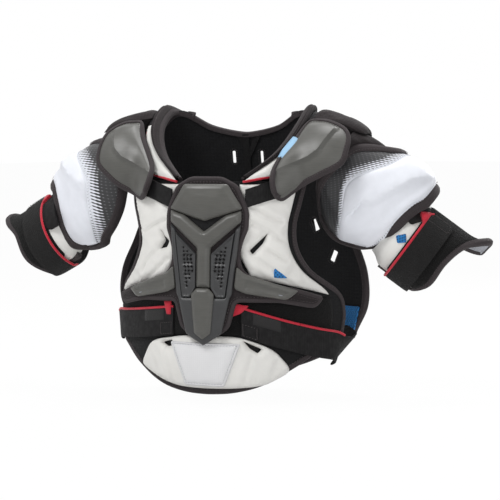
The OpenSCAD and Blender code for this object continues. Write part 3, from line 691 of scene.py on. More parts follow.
def hatched(name, dark, light, pitch, turn):
    m = Mat(name, dark, Specular_IOR_Level=0.45, Coat_Weight=0.15, Coat_Roughness=0.3)
    v = m.cloth((1, 1, 1), turn)
    line, dash = m.wave(v, 0, pitch), m.wave(v, 1, 2 * pitch)
    weave = m.math("MULTIPLY_ADD", line, 0.75, m.math("MULTIPLY", dash, 0.25))
    broad, grain = m.noise(m.cloth(), 0.05), m.noise(m.cloth(), 1.2, 2)
    fade = m.math("MULTIPLY_ADD", broad, 0.16, m.math("SUBTRACT", m.attr("fade"), 0.08))
    ink = m.ramp(m.math("SUBTRACT", weave, fade), -0.12, 0.12)
    c = m.mix(ink, m.mix(m.ramp(broad, 0.3, 0.7), tone(light, 0.95), light), m.mix(weave, 1.8, 0.6))
    c = m.mix(m.ramp(fade, 0.02, 0.3, 0.6, 0), c, 0.9)
    relief = m.math("MULTIPLY", line, m.ramp(fade, 0.5, 1.0, 1, 0))
    return m.done(c, m.ramp(broad, 0.3, 0.7, 0.4, 0.55), 0.4, 0.0004, (relief, 0.6), (grain, 0.2))


def plain_solid(name, colour, rough=0.9):
    m = Mat(name, colour)
    v = m.space()
    fine, broad = m.noise(v, 0.9), m.noise(v, 0.05, 2)
    c = m.mix(m.ramp(broad, 0.35, 0.7, 0, 0.4), m.mix(m.ramp(fine, 0.3, 0.7), 0.7, 1.3), 0.8)
    return m.done(c, m.ramp(fine, 0.3, 0.7, rough - 0.1, rough), 0.7, 0.0008, (fine, 1.0))


# Looks: the slot and the material of each
COOL_WHITE, INK = (0.8, 0.82, 0.88), (0.022, 0.022, 0.024)
LOOKS = {
    "olive": ("moulded_olive", moulded("moulded_olive", (0.076, 0.075, 0.068))),
    "slate": ("moulded_slate", moulded("moulded_slate", (0.030, 0.0307, 0.032), 0.42)),
    "bind": ("padded_dark", fabric("bound_fabric", (0.046, 0.0385, 0.0405), 0.82, 1.5, 0.4, 0.16, 0.04)),
    "top": ("padded_dark", fabric("padded_dark", (0.024, 0.0195, 0.0205), 0.85, 2.0, 0.5, 0.2, 0.05)),
    "lining": ("lining", fabric("lining_black", (0.0065, 0.0065, 0.0072), 0.75, 2.2, 0.5, 0.3, 0.02)),
    "quilt": ("lining", fabric("quilted_black", (0.009, 0.009, 0.01), 0.78, 2.6, 0.6, 0.25, 0.03)),
    "web": ("webbing", rib("webbing_black", (0.010, 0.0095, 0.010))),
    "elastic": ("webbing", rib("elastic_black", (0.0125, 0.012, 0.0125), 2.4, 0.85, 1)),
    "loop": ("loop", fuzzy("loop_black", (0.0058, 0.0056, 0.0056))),
    "strap": ("loop", fuzzy("strap_black", (0.015, 0.0145, 0.0145))),
    "white": ("white_foam", foam("white_foam", (0.8, 0.79, 0.76))),
    "cover": ("white_gloss", fabric("white_cover", (0.78, 0.78, 0.79), 0.55, 1.4, 0.25, 0.05, 0.05)),
    "grey": ("lining", fabric("grey_lining", (0.32, 0.33, 0.36), 0.75, 1.8, 0.4, 0.12, 0.1)),
    "red": ("red_fabric", fabric("red_fabric", (0.56, 0.02, 0.042), 0.6, 1.1, 0.4, 0.12, 0.2)),
    "blue": ("blue_mesh", netting("blue_mesh", (0.012, 0.16, 0.43))),
    "tag": ("blue_mesh", fabric("pale_blue_tag", (0.32, 0.53, 0.74), 0.55, 1.2, 0.2, 0.06, 0.05)),
    "label": ("webbing", fabric("label_satin", (0.017, 0.016, 0.0165), 0.45, 1.0, 0.2, 0.15, 0.05)),
    "left_hatch": ("white_gloss", hatched("hatched_shell", INK, COOL_WHITE, 2.9, 0.62)),
    "right_hatch": ("white_gloss", hatched("hatched_wide", INK, COOL_WHITE, 3.6, 0.9)),
    "thread": ("padded_dark", fabric("thread_grey", (0.085, 0.075, 0.076), 0.6, 0.8, 0.3, 0.1, 0.0)),
    "pale": ("white_gloss", fabric("thread_pale", (0.5, 0.51, 0.55), 0.6, 0.8, 0.3, 0.1, 0.0)),
}
FIELDS = (("cloth", "FLOAT_VECTOR", "vector"), ("edge", "FLOAT", "value"), ("fade", "FLOAT", "value"))


def make(name, bit, look, node=None, body="torso", inner=None, sharp=38):
    mesh = bpy.data.meshes.new(name)
    mesh.from_pydata((bit.verts * MM).tolist(), [], bit.faces)
    for key, kind, field in FIELDS:
        values = np.ascontiguousarray(getattr(bit, key), np.float32).ravel()
        mesh.attributes.new(key, kind, "POINT").data.foreach_set(field, values)
    slot, material = LOOKS[look]
    mesh.materials.append(material)
    if inner:
        mesh.materials.append(LOOKS[inner][1])
        mesh.polygons.foreach_set("material_index", bit.inner.astype(np.int32))
    bm = bmesh.new()
    bm.from_mesh(mesh)
    bmesh.ops.recalc_face_normals(bm, faces=bm.faces)
    bm.to_mesh(mesh)
    bm.free()
    mesh.shade_smooth()
    mesh.set_sharp_from_angle(angle=math.radians(sharp))
    obj = bpy.data.objects.new(name, mesh)
    scene.collection.objects.link(obj)
    if body:
        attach(obj, body)
    if node:
        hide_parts(node)
    return obj


# Pieces of one side, and pieces and fabric sheets reaching between two bodies, kept on neither with their transform
# baked
def placed(side, body="torso"):
    named = lambda end: end and f"{side}_{end}"

    def put(end, bit, look, node=None, body=body, inner=None):
        return make(named(end), bit, look, named(node), body, inner)

    return put


def bridge(obj, near, far, surf, start, end, h):
    at = lambda p: tuple(float(c) * MM for c in surf(*np.array([[p[0]], [p[1]], [h]], float))[0])
    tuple(at(start))
    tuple(at(end))
    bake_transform(obj)


def soft_sheet(name, look, node, bit, near, far, surf, span):
    obj = make(name, bit, look, node, None)
    bridge(obj, near, far, surf, *span, 0)


# Padded pieces are blown up together by a cloth pass once all of them are made
SOFT, CLOTH_FRAMES = [], 18


def pad(name, bit, look, node, puff, fill=0.6, body="torso"):
    obj = make(name, bit, look, node, None, sharp=60)
    group = obj.vertex_groups.new(name="sewn")
    for i, w in enumerate(bit.pin):
        group.add([i], float(w), "REPLACE")
    SOFT.append((obj, body, puff, fill))


def add_cloth(obj):
    mod = obj.modifiers.new("cloth", "CLOTH")
    s = mod.settings
    s.quality, s.mass = 4, 0.25
    s.tension_stiffness = s.compression_stiffness = 12
    s.shear_stiffness, s.bending_stiffness = 6, 0.6
    s.use_pressure, s.uniform_pressure_force = True, 4.0
    s.vertex_group_mass, s.pin_stiffness = "sewn", 1.0
    s.shrink_min = -0.025
    s.effector_weights.gravity = 0
    mod.collision_settings.use_collision = False
    mod.collision_settings.use_self_collision = False
    mod.point_cache.frame_start, mod.point_cache.frame_end = 1, CLOTH_FRAMES + 2


def blow():
    places = [np.array([v.co for v in obj.data.vertices]) for obj, *_ in SOFT]
    for obj, *_ in SOFT:
        add_cloth(obj)
    for f in range(1, CLOTH_FRAMES + 1):
        scene.frame_set(f)
    graph = bpy.context.evaluated_depsgraph_get()
    for (obj, _, puff, _), place in zip(SOFT, places):
        shape = obj.evaluated_get(graph).to_mesh()
        move = np.array([v.co for v in shape.vertices]) - place
        far, most = np.linalg.norm(move, axis=1, keepdims=True), puff * MM
        move *= most * np.tanh(far / most) / np.maximum(far, 1e-9)
        place += np.nan_to_num(move)
    scene.frame_set(1)
    for (obj, *_), place in zip(SOFT, places):
        obj.modifiers.clear()
        obj.data.vertices.foreach_set("co", place.astype(np.float32).ravel())
        obj.data.update()


# Height profiles over a plate, from the distance to its edge, and over a sheet
def crown(low, edge, full, r):
    return lambda p, d: low + edge + (full - edge) * np.sqrt(np.maximum(0, 1 - (1 - rise(d, r)) ** 2.4))


def bevel(low, high, w):
    return lambda p, d: low + (high - low) * rise(d, w)


def stepped(low, step, w, full, far):
    return lambda p, d: low + step * rise(d, w) + full * smooth(d, w, far)


def pillow(low, full, power_a, power_b):
    return lambda a, b: low + full * arch(a, power_a) * arch(b, power_b)


def webbing(low):
    return lambda a, b: low + 1.9 + 0.6 * arch(a, 6)


# Front panel
zs = np.linspace(FRONT_LOW, FRONT_LOW + FRONT_TALL, 46)
side_edges = {side: pair(chest_arc(front_half(zs, side), zs), zs) for side in SIDES}
front_line = np.concatenate([side_edges["left"], (side_edges["right"] * [-1, 1])[::-1]])
make("front_liner_cloth", plate(chest, dense(front_line, 9), 0, LINER, 10, (3,)), "lining", "front_liner")
front_bind = []
for side, sx in (("left", 1), ("right", -1)):
    edge = side_edges[side]
    front_bind.append(binding(chest, even(edge, 3) * [sx, 1], 0, LINER + 0.4, 7, False, sx))
    stitches("torso", chest, even(edge - [5.2, 0], 3) * [sx, 1], LINER + 1.6)
make("front_binding", joined(front_bind), "bind")

DARTS = {"left": [[59, -190], [83, -166], [77, -180], [63, -196]],
         "right": [[73, -163], [67, -171], [58, -178], [62, -187], [75, -190], [66, -178]]}
FOLDS = {"left": [[(62, -152), (84, -166), (112, -184)], [(66, -202), (86, -216), (118, -240)],
                  [(72, -186), (92, -196), (108, -206)], [(60, -128), (80, -140), (100, -150)]],
         "right": [[(62, -148), (82, -156), (104, -166)], [(74, -190), (92, -204), (108, -222)],
                   [(58, -204), (80, -222), (100, -238)]]}
for side in SIDES:
    v = np.linspace(0, 1, 30)
    z_in, z_out = lerp(-228, -96, v), lerp(-256, -96, v)
    s_in = chest_arc(spline([62, 47, 45, 51, 45], v), z_in, 9)
    s_out = chest_arc(front_half(z_out, side) - 5, z_out, 9)
    outline = np.concatenate([pair(s_out, z_out), pair(s_in, z_in)[::-1]])
    folds = [curve(f, 3) for f in FOLDS[side]]

    def folded(p, d):
        h = crown(PAD_IN, 2.2, 6.4, 13)(p, d)
        for fold in folds:
            k = distance(p, fold, False)
            h += rise(d, 9) * (1.5 * bump(k - 7, 5.5) - 2.8 * bump(k, 2.4))
        return h

    dart = dense(rounded(DARTS[side], 2, 1.5), 2.5)
    bit = plate(mirrored(chest, side), outline, PAD_IN, folded, 3.6, PAD_RINGS, [dart])
    pad(f"{side}_chest_cushion", bit, "white", f"{side}_chest_pad", 2.0)
patch = rounded([[92, -214], [110, -230], [91, -229]], 2)
make("chest_blue_patch", plate(chest, patch, PAD_IN, bevel(PAD_OUT + 1.0, PAD_OUT + 2.0, 1.5), 2.5, (1,)), "blue")

# Sternum group
PLATE = [[33, -95], [54, -128], [54, -131], [0, -148]]
PLATE_FACE = on_front(both([[27, -101.5], [47, -129], [0, -142]]), 26)
RIB = [[0, -163], [32, lerp(-148, -131, 32 / 54) - 1.2], [54, -132.4], [54, -149], [10.5, -186], [10.5, -243]]
WINDOW = [[0, -162], [31, -140.5], [0, -148.6]]
FRAME = [[0, -257.5], [33, -257.5], [46, -160], [54, -152.5], [42, -253], [39, -257.5], [27, -309], [0, -326]]
TAIL = [[9, -243.6], [17.5, -252.4], [12.5, -308], [0, -317]]
VENT = [[44.8, -164], [21.5, -185], [11, -195], [11, -243], [19.5, -257], [32.6, -257]]
VENT_ROWS = [1, 2, 3, 3, 3, 3, 3, 2, 2, 1, 1]
WING = [[47.8, -212], [60, -223], [130, -248], [115, -261], [60, -251], [44.6, -244]]
WING_RECESS = [[62, -232], [117, -250.5], [107, -256], [60, -245]]
# A painted glint: a small light grey piece in the wing recess
WING_GLINT = [[104, -252.2], [113, -254.8], [112, -256], [104, -253.6]]

base_side = spline([[61, -158], [51, -190], [56, -219], [84, -235], [126, -247], [156, -259]], np.linspace(0, 1, 24))
base_low = [[147, -273], [104, -263], [46, -262], [36, -300], [18, -313]]
base_half = np.concatenate([[[24, -86], [47, -99], [61, -134]], base_side, base_low])
base = on_front(rounded(both(base_half), 7), 20)
bit = plate(chest, base, BASE_IN, crown(BASE_IN, 2.5, 5.5, 4), 4, (0.6, 1.6, 3.4))
make("sternum_base_pad", bit, "top", "sternum_base")
ring = even(base, 3, True)
make("sternum_base_binding", binding(chest, ring, BASE_IN + 0.4, BASE_OUT - 0.6, 4.6, step=3, puff=1.0), "bind")
stitches("torso", chest, ring + inward(ring) * 6.2, BASE_OUT + 0.1, True)


def plate_face(p, d):
    k = signed(p, PLATE_FACE)
    dome = 1.6 * bump(p[:, 0], 40)
    return PLATE_IN + 2.2 + 2.0 * rise(d, 1.6) + 2.6 * smooth(k, -5.5, 0.5) + dome * smooth(k, 0, 14)


def rib_face(p, d):
    column = bump(p[:, 0], 6.5) * smooth(-p[:, 1], 176, 196)
    return stepped(PLATE_IN + 1.8, 2.2, 1.4, 3.2, 5.5)(p, d) + 1.4 * column


frame_face, tail_face = stepped(PLATE_IN + 2, 2, 1.3, 1.2, 5), stepped(PLATE_OUT + 2, 2, 1.2, 2.8, 5)
for name, half, r, h, low, face, step, rings, look, node in (
    ("sternum_moulding", PLATE, 3.5, 26, PLATE_IN, plate_face, 2.6, (0.8, 1.7, 4, 6), "olive", "sternum_plate"),
    ("spine_rib_moulding", RIB, 2.5, 26, PLATE_IN, rib_face, 2.4, (0.7, 1.5, 3.4, 5.4), "olive", "spine_rib"),
    ("window_cloth", WINDOW, 0, 24, BASE_OUT - 1, BASE_OUT + 0.8, 3, (1,), "lining", None),
    ("spine_frame_moulding", FRAME, 2.5, 26, PLATE_IN, frame_face, 2.8, (0.7, 1.4, 3.2), "slate", "spine_frame"),
    ("spine_tail_moulding", TAIL, 2.5, 30, PLATE_OUT + 0.5, tail_face, 2.4, (0.6, 1.3, 3, 5), "olive", "spine_tail"),
):
    line = rounded(both(half), r, 1) if r else both(half)
    make(name, plate(chest, on_front(line, h), low, face, step, rings), look, node)

for side in SIDES:
    put = placed(side)
    surf = mirrored(chest, side)
    holes = []
    for row, count in enumerate(VENT_ROWS):
        for col in range(count):
            centre = np.array([32 - col * 5.5 - row * 0.6, -186 - row * 5.5])
            holes.append(on_front(centre + ellipse(1.45, 1.45), 25))
    vent_line = on_front(rounded(VENT, 2, 1), 25)

    def vent_face(p, d):
        k = distance(p, vent_line)
        return PLATE_IN + 1 + 1.6 * rise(d, 0.8) + 1.4 * (1 - smooth(k, 1.6, 3.4))

    bit = plate(surf, vent_line, PLATE_IN, vent_face, 2.4, (0.8, 1.8, 3.2), holes)
    # Edge distance pushed out so the painted edge highlight of the moulded look stays off the hole walls
    bit.edge = bit.edge + 3
    put("vent_moulding", bit, "slate", "vent_plate")
    recess = on_front(rounded(WING_RECESS, 3), 25)

    def wing_face(p, d):
        return stepped(PLATE_IN + 1.6, 2.4, 1.4, 1.4, 5)(p, d) - 2.6 * smooth(signed(p, recess), -1.2, 1.2)

    wing_line, crease = on_front(rounded(WING, 5, 1.5), 25), np.concatenate([recess, recess[:1]])
    bit = plate(surf, wing_line, PLATE_IN, wing_face, 2.6, (0.7, 1.5, 3.4), (), [crease])
    put("rib_moulding", bit, "olive", "rib_wing")
    # Painted glint, made as a small light grey piece in the wing recess
    glint = on_front(rounded(WING_GLINT, 0.5, 0.5), 25)
    put("rib_slit", plate(surf, glint, PLATE_IN + 1, PLATE_OUT - 0.6, 2, ()), "grey")

loop_z = np.linspace(-312, -260.5, 12)
loop_s = chest_arc(front_half(loop_z) - 4, loop_z, 10)
loop_line = np.concatenate([pair(loop_s, loop_z), pair(-loop_s, loop_z)[::-1]])
bit = plate(chest, loop_line, LOOP_IN, bevel(LOOP_OUT - 1.2, LOOP_OUT, 2.5), 6, (1, 2.5))
make("front_loop_cloth", bit, "loop", "front_loop_panel")


# Neck, yokes and shoulder tops
def settle(v):
    return 6 * smooth(v, 0.7, 0.93)


def collar_width(v):
    return 0.1 + 0.24 * smooth(v, 0.02, 0.42)


def yoke_top(a, b):
    return np.maximum(1.6, LINER - 6 * smooth(a, 0.6, 1) - settle(b))


def collar_low(a, b):
    return PAD_IN - 0.3 - settle(b * 0.93)


def collar_top(a, b):
    full = (0.45 + 0.55 * smooth(b, 0.0, 0.3)) * (1 - smooth(b, 0.74, 1.0))
    roll = full * (6 * arch(a, 3) - 1.6 * bump(a - 0.56, 0.06))
    return PAD_IN + 2.5 - settle(b * 0.93) - 1.5 * smooth(b, 0.8, 1.0) + roll


def cushion_top(a, b):
    return pillow(2.5, 5.5, 5, 5)(a, b) - 1.8 * bump(b - 0.34, 0.03) - 1.8 * bump(b - 0.68, 0.03)


def clavicle(u, v, h):
    at = lerp(lerp(-0.05, 0.04, u), 0.42, v)
    across = lerp(collar_width(at) + 0.01, 0.56 + 0.04 * smooth(at, 0, 0.3), u)
    slope = (yoke(across, 0 * at, h) - yoke(across, 0 * at + 0.04, h)) / 0.04
    return yoke(across, np.maximum(at, 0), h) + slope * np.maximum(0, -at)[:, None]


across, along = np.linspace(0, 0.94, 26), np.linspace(0.0, 0.85, 50)[1:]
turn = np.linspace(0, np.pi / 2, 7)[1:-1]
corner = pair(0.94 + 0.07 * np.sin(turn), 0.015 - 0.025 * np.cos(turn))
clavicle_line = np.concatenate([pair(across, 0 * across - 0.01), corner, pair(0 * along + 1.01, along)])
CUSHION_END = {"left": 1, "right": 0.9}
for side in SIDES:
    put = placed(side)
    surf, clavicle_at = mirrored(yoke, side), mirrored(clavicle, side)
    collar_at = lambda u, v, h: surf(lerp(-0.02, collar_width(v), u), v, h)
    settled = lambda u, v, h: surf(u, v, h * (1 - 0.75 * smooth(v, 0.68, 0.9)))
    cushion = lambda u, v, h: mirrored(shoulder_top, side)(u, 0.5 + (v - 0.5) * (1 - 0.3 * u**5), h)
    put("yoke_cloth", sheet(surf, 14, 30, 0, yoke_top), "lining", "yoke")
    bit = sheet(collar_at, 12, 54, collar_low, collar_top, v=(0.01, 0.93))
    pad(f"{side}_collar_roll", bit, "top", f"{side}_collar", 1.2, 0.8)
    put("neck_binding", cord(settled, level(0, 0.0, 0.98, 60), 4, 2.6, 5.6), "bind")
    for at, h in ((0.36, 16.6), (0.74, 14.8)):
        stitches("torso", collar_at, level(at, 0.16, 0.64, 90), h, False, 0.011, 2.8)
    bit = sheet(clavicle_at, 14, 34, PAD_IN, pillow(PAD_IN + 1.8, 3.8, 4, 8))
    pad(f"{side}_clavicle_cushion", bit, "white", f"{side}_clavicle_pad", 1.2)
    put("clavicle_piping", cord(clavicle_at, clavicle_line, 10.2, 1.7, 1.9), "red")
    bit = sheet(cushion, 24, 30, lambda a, b: 2.4 * smooth(a, 0.7, 1), cushion_top, (0, CUSHION_END[side]))
    pad(f"{side}_shoulder_cushion", bit, "top", f"{side}_shoulder_top", 1.6, 0.7)


def neck_back(u, v, h):
    x = lerp(-92, 92, v)
    z = back_top(x) - 1 - 24 * u * (1 - 0.6 * smooth(np.abs(x), 50, 92))
    return back(back_arc(x, z), z, h)


def neck_roll(a, b):
    return PAD_IN + 2.5 + arch(b, 6) * (6 * arch(a, 3) - 1.4 * bump(a - 0.6, 0.06))


pad("back_collar_roll", sheet(neck_back, 10, 50, PAD_IN - 0.3, neck_roll), "top", "back_collar", 1.2, 0.8)

# Back panel
q, v = np.linspace(-1, 1, 60), np.linspace(0, 1, 50)
top_edge = pair(q * BACK_W[0], spline(BACK_TOP, np.abs(q)))
low_edge = pair(q * BACK_W[-1], spline(BACK_LOW, np.abs(q)))
side_edge = pair(spline(BACK_W, v), lerp(BACK_TOP[-1], BACK_LOW[-1], v))
back_line = np.concatenate([low_edge, side_edge[::-1][1:], top_edge[::-1][1:], (side_edge * [-1, 1])[1:-1]])
back_line = even(on_rear(back_line), 6, True)
slots = []
for x, z, lean, half in ((22, -58, 0, 2.6), (105, -160, -24, 4.6), (136, -206, 24, 4.6)):
    for sx in (1, -1):
        c, s = math.cos(math.radians(lean * sx)), math.sin(math.radians(lean * sx))
        box = np.array([(-half, -9), (half, -9), (half, 9), (-half, 9)]) @ np.array([[c, -s], [s, c]])
        slots.append(dense(rounded(on_rear(box + [sx * x, z]), 1.5, 1), 3))


def groove(u, pitch, width):
    return bump((u - np.round(u)) * pitch, width)


def creased(p, d):
    u = (p[:, 0] * 0.62 + p[:, 1] * 0.78) / 34
    w = (-p[:, 0] * 0.62 + p[:, 1] * 0.78) / 34
    return 0.9 * groove(np.where(p[:, 0] > 0, u, w), 1, 0.07) * rise(d, 8)


def back_face(p, d):
    return LINER - creased(p, d) - 4.5 * (1 - smooth(d, 0, 7))


make("back_liner_cloth", plate(back, back_line, creased, back_face, 5, (2,), slots), "quilt", "back_liner")
make("back_binding", binding(back, back_line, 0, LINER, 7), "bind")
for h in (LINER + 1.0, -0.7):
    stitches("torso", back, even(back_line + inward(back_line) * 5, 3, True), h, True)
for slot_line in slots:
    stitches("torso", back, even(slot_line - inward(slot_line) * 2.6, 2, True), -0.3, True, 3.6, 2.4, 0.4)


def rear(left, right, top, low):
    v = np.linspace(0, 1, 16)
    z = lerp(top, low, v)
    return on_rear(np.concatenate([pair(spline(right, v), z)[::-1], pair(spline(left, v), z)]))


def quilted(pitch, slant):
    dome = crown(PAD_IN, 2.5, 6.5, 10)
    return lambda p, d: dome(p, d) - 2.0 * groove((p[:, 0] * slant + p[:, 1]) / pitch, pitch, 1.8) * rise(d, 6)


def spine_face(p, d):
    step = 1.5 * groove((p[:, 1] + 78) / 23, 23, 2.2) * rise(d, 5)
    return stepped(PAD_IN + 2.5, 2, 1.5, 2.6, 8)(p, d) - step


for side in SIDES:
    line = rounded(rear([34, 34, 36, 38], [124, 134, 122, 112], -100, -206), 8)
    eyelet = dense(rounded(on_rear([(96, -148), (112, -148), (116, -172), (100, -172)]), 3, 2), 3)
    bit = plate(mirrored(back, side), line, PAD_IN, quilted(26, 0.35), 4, PAD_RINGS, [eyelet])
    pad(f"{side}_back_cushion", bit, "quilt", f"{side}_back_pad", 2.0)
line = rounded(rear([-130, -128, -112, -86], [130, 128, 112, 86], -268, -350), 10)
bit = plate(back, line, PAD_IN, quilted(24, 0), 4.5, PAD_RINGS)
pad("lower_back_cushion", bit, "quilt", "lower_back_pad", 2.0)
line = rounded(rear([-26, -20, -24, -28], [26, 20, 24, 28], -78, -262), 5)
make("back_spine_moulding", plate(back, line, PAD_IN, spine_face, 3, (0.8, 1.6, 4)), "slate", "back_spine_plate")

STRAP_FALL = {"left": 0.36, "right": 0.12}
STRAP_Z, STRAP_W, STRAP_END_X, STRAP_SEAM_X, STRAP_TURN_X = -272, 42, 48, 118.6, 168


def strap_level(x, side):
    return STRAP_Z - STRAP_FALL[side] * (x - STRAP_END_X)


for side in SIDES:
    put = placed(side)
    low = strap_level(STRAP_TURN_X, side)
    line = on_rear(rounded([[122, low], [174, low], [183, low + 36], [122, low + 36]], 3))
    put("back_netting", plate(mirrored(back, side), line, -2.9, -0.5, 5, (1,)), "blue", "back_mesh")

# Webbing and spine band on the inner face of the back
for name, path, w in (("neck_webbing", [[-15, -26], [4, -60], [23, -26]], 8),
                      ("spine_band", [[-6, -24], [-6, -90], [-6, -200]], 10)):
    make(name, band(back, on_rear(dense(path, 4, False)), -2.2, -0.2, w), "web")

# Belly flap
BELLY_W, BELLY_HEM, HEM_IN = 162, [-397, -394, -383, -359, -331], 0.965
BELLY = [[-108, -359], [-100, -340], [-86, -324], [-56, -317], [-26, -313.5], [27, -313.5], [56, -318], [87, -331],
         [103, -345], [114, -363], [96, -376], [73, -385], [26, -389], [-30, -388], [-61, -382], [-86, -372]]
NOTCHES = [[[-69, -325], [-52, -320.5], [-51, -329], [-60, -331]], [[51, -320], [76, -331.5], [71, -338], [60, -331]]]
low_edge = pair(q * BELLY_W * HEM_IN, spline(BELLY_HEM, np.abs(q)))
top_edge = pair(q * BELLY_W, np.full(60, -316.6))
belly_line = on_front(np.concatenate([low_edge, top_edge[::-1]]), 4)
make("belly_liner_cloth", plate(chest, belly_line, 0, LINER, 8, (3,)), "lining", "belly_base", "belly")
hem = even(on_front(np.concatenate([[top_edge[0]], low_edge, [top_edge[-1]]]), 4), 3)
make("belly_binding", binding(chest, hem, 0, LINER, 7, False), "bind", None, "belly")
stitches("belly", chest, even(on_front(low_edge * [HEM_IN, 1] + [0, 5.4], 4), 3), LINER + 1.2)


def belly_face(p, d):
    fold = bump(np.abs(p[:, 0]) - 60 - 0.25 * (p[:, 1] + 350), 3)
    return crown(PAD_IN, 2.6, 7.2, 9)(p, d) - 1.3 * fold * rise(d, 8)


def cover_face(p, d):
    return 17.6 + 1.6 * rise(d, 1.4) + 1.2 * smooth(d, 4, 12) - 0.9 * bump(d - 3.6, 0.9)


notches = [dense(rounded(n, 2, 1.5), 3) for n in NOTCHES]
bit = plate(chest, curve(BELLY, 3, True), PAD_IN, belly_face, 4, PAD_RINGS, notches)
pad("belly_cushion", bit, "white", "belly_pad", 1.6, body="belly")
cover = rounded([[-51, -322], [-29, -384.5], [26, -386], [48, -323]], 4)
bit = plate(chest, cover, PAD_OUT - 2, cover_face, 3, (0.8, 1.6, 2.8, 3.6, 4.6))
make("belly_cover_panel", bit, "cover", "belly_cover", "belly")
cover = even(cover, 2, True)
stitches("belly", chest, cover + inward(cover) * 3.6, 19.2, True, 4.0, 2.8, 0.4, "pale")

# Side straps
PULL = {"left": [[41, -266], [63, -269], [52, -280], [36, -286]],
        "right": [[55, -264], [68, -265], [63, -284], [56, -284]]}
STRAP_TUCK = {"left": 34, "right": 8}
STRAP_CORE = np.array([0, 41.0, -316])
LABEL_H = STRAP_OUT + 0.3
for side in SIDES:
    surf, body = mirrored(chest, side), f"{side}_waist_tongue"
    put = placed(side, body)

    def strap_front(x, h):
        z = strap_level(x, side)
        return chest(chest_arc(x, z), np.array(z), h)

    low = strap_level(STRAP_TURN_X, side) - 4
    front = [strap_front(x, STRAP_IN + 1.2) for x in (140.0, 157.0)]
    sewn = [back(back_arc(x, low), np.array(low), h) for x, h in ((166.0, -4.3), (148.0, -3.7), (130.0, -3.1))]
    path = np.array([strap_front(STRAP_SEAM_X, STRAP_IN), *front, [178, 12, low], [184, 36, low], *sewn], float)

    def strap_mid(u, v):
        turn, sewn = bump(v - 0.52, 0.17), smooth(v, 0.45, 0.8)
        drop = STRAP_W * u * (1 - 0.5 * sewn) - 12 * sewn
        return spline(path, v) - stack(STRAP_TUCK[side] * u * turn, 0 * u, drop)

    def strap(u, v, h):
        return lifted(strap_mid, u, v, h, STRAP_CORE) * FLIP[side]

    def tongue(u, v, h):
        x = lerp(STRAP_END_X, 121, v)
        z = strap_level(x, side) - STRAP_W * u
        return surf(chest_arc(x, z), z, h)

    put("strap_band", sheet(strap, 10, 60, 0, webbing(0)), "elastic", "side_strap", "torso")
    bit = sheet(tongue, 10, 30, STRAP_IN, webbing(STRAP_IN))
    obj = put("strap_tongue", bit, "elastic", "strap_end", None)
    start, end = [(chest_arc(x, -300.0), -300.0) for x in (119.5, 113.0)]
    bridge(obj, "torso", body, surf, start, end, STRAP_IN)
    put("tongue_piping", cord(tongue, level(0, 0, 0.96, 60), STRAP_IN + 1.4, 1.9, 1.7), "red")
    put("strap_piping", cord(strap, level(0, 0, 0.37, 60), 1.4, 1.9, 1.7), "red", None, "torso")
    bit = sheet(tongue, 8, 14, STRAP_OUT - 0.6, pillow(LABEL_H, 0.5, 8, 8), (0.06, 0.44), (0.2, 0.66))
    put("strap_label", bit, "label")
    bit = sheet(tongue, 8, 8, STRAP_OUT - 0.6, pillow(LABEL_H, 1.0, 6, 6), (0.48, 0.97), (0.0, 0.3))
    put("strap_thumb", bit, "web")
    box = dense([(0.54, 0.03), (0.92, 0.03), (0.92, 0.27), (0.54, 0.27)], 0.01)
    stitches(body, tongue, box, LABEL_H + 1.1, True, 0.05, 2.4)
    tab, tab_top = rounded(on_front(PULL[side], 16), 1.5), lambda p, d: STRAP_OUT + 0.8 + 0.9 * np.sqrt(rise(d, 2))
    put("pull_tab", plate(surf, tab, STRAP_OUT - 0.8, tab_top, 2.5, (0.8, 2)), "red", "strap_tab")

# Shoulder caps
CAP = {"left": [[123, -5], [143, -2], [162, -5], [182, -14], [192, -27], [193, -45], [187, -67], [158, -84],
                [131, -98], [110, -116], [103, -119], [97, -112], [91, -92], [90, -74], [97, -53], [110, -32]],
       "right": [[132, -6], [147, -4], [161, -6], [180, -17], [188, -30], [192, -50], [189, -69], [170, -87],
                 [150, -102], [118, -117], [107, -119], [95, -110], [89, -92], [90, -72], [103, -51], [119, -28]]}
CREASE = {"left": [[172, -14], [166, -24], [152, -48], [140, -57], [118, -67], [98, -76]],
          "right": [[168, -14], [164, -26], [158, -46], [146, -58], [120, -70], [97, -80]]}
TETHER = [[50.4, -130], [76, -120], [106, -110]]
TAG = [[96, -58], [99, -47], [110, -28], [119, -31], [120, -41], [108, -59]]
for side in SIDES:
    surf, body = mirrored(cap, side), f"{side}_cap"
    put = placed(side, body)
    line, crease = curve(CAP[side], 2.5, True), even(CREASE[side], 2.5)
    facet_line = np.concatenate([crease, [[70, crease[-1][1]], [70, 20], [crease[0][0], 20]]])

    def cap_face(p, d):
        k = distance(p, crease, False)
        lift = 4.2 * smooth(signed(p, facet_line), -4.5, 0) + 0.6 * bump(k, 2.2) + 1.2 * np.maximum(0, 1 - k / 26)
        return -1.2 + 1.2 * rise(d, 3) + lift * smooth(d, 3, 13) + 1.2 * smooth(d, 4, 24)

    bit = plate(surf, line, -3.8, cap_face, 3, PAD_RINGS, (), [crease[1:-1]])
    put("cap_moulding", bit, "olive", "cap_shell")
    put("cap_binding", binding(surf, line, -4.4, 0.2, 7, step=3, puff=1.4), "bind")
    stitches(body, surf, line + inward(line) * 5.2, 1.35, True, 4.2, 2.8)
    put("cap_padding", plate(surf, line + inward(line) * 3, -8.1, -4.3, 5, (2,)), "quilt", "cap_liner")
make("cap_tag", plate(cap, rounded(TAG, 2), 0.2, bevel(2.2, 2.9, 1.2), 2.5, (0.8,)), "tag", None, "left_cap")


def tether(u, v, h):
    p = spline(TETHER, v)
    z = p[:, 1] + 27 * u
    return chest(chest_arc(p[:, 0], z), z, h + 0.8 * np.sin(7 * v))


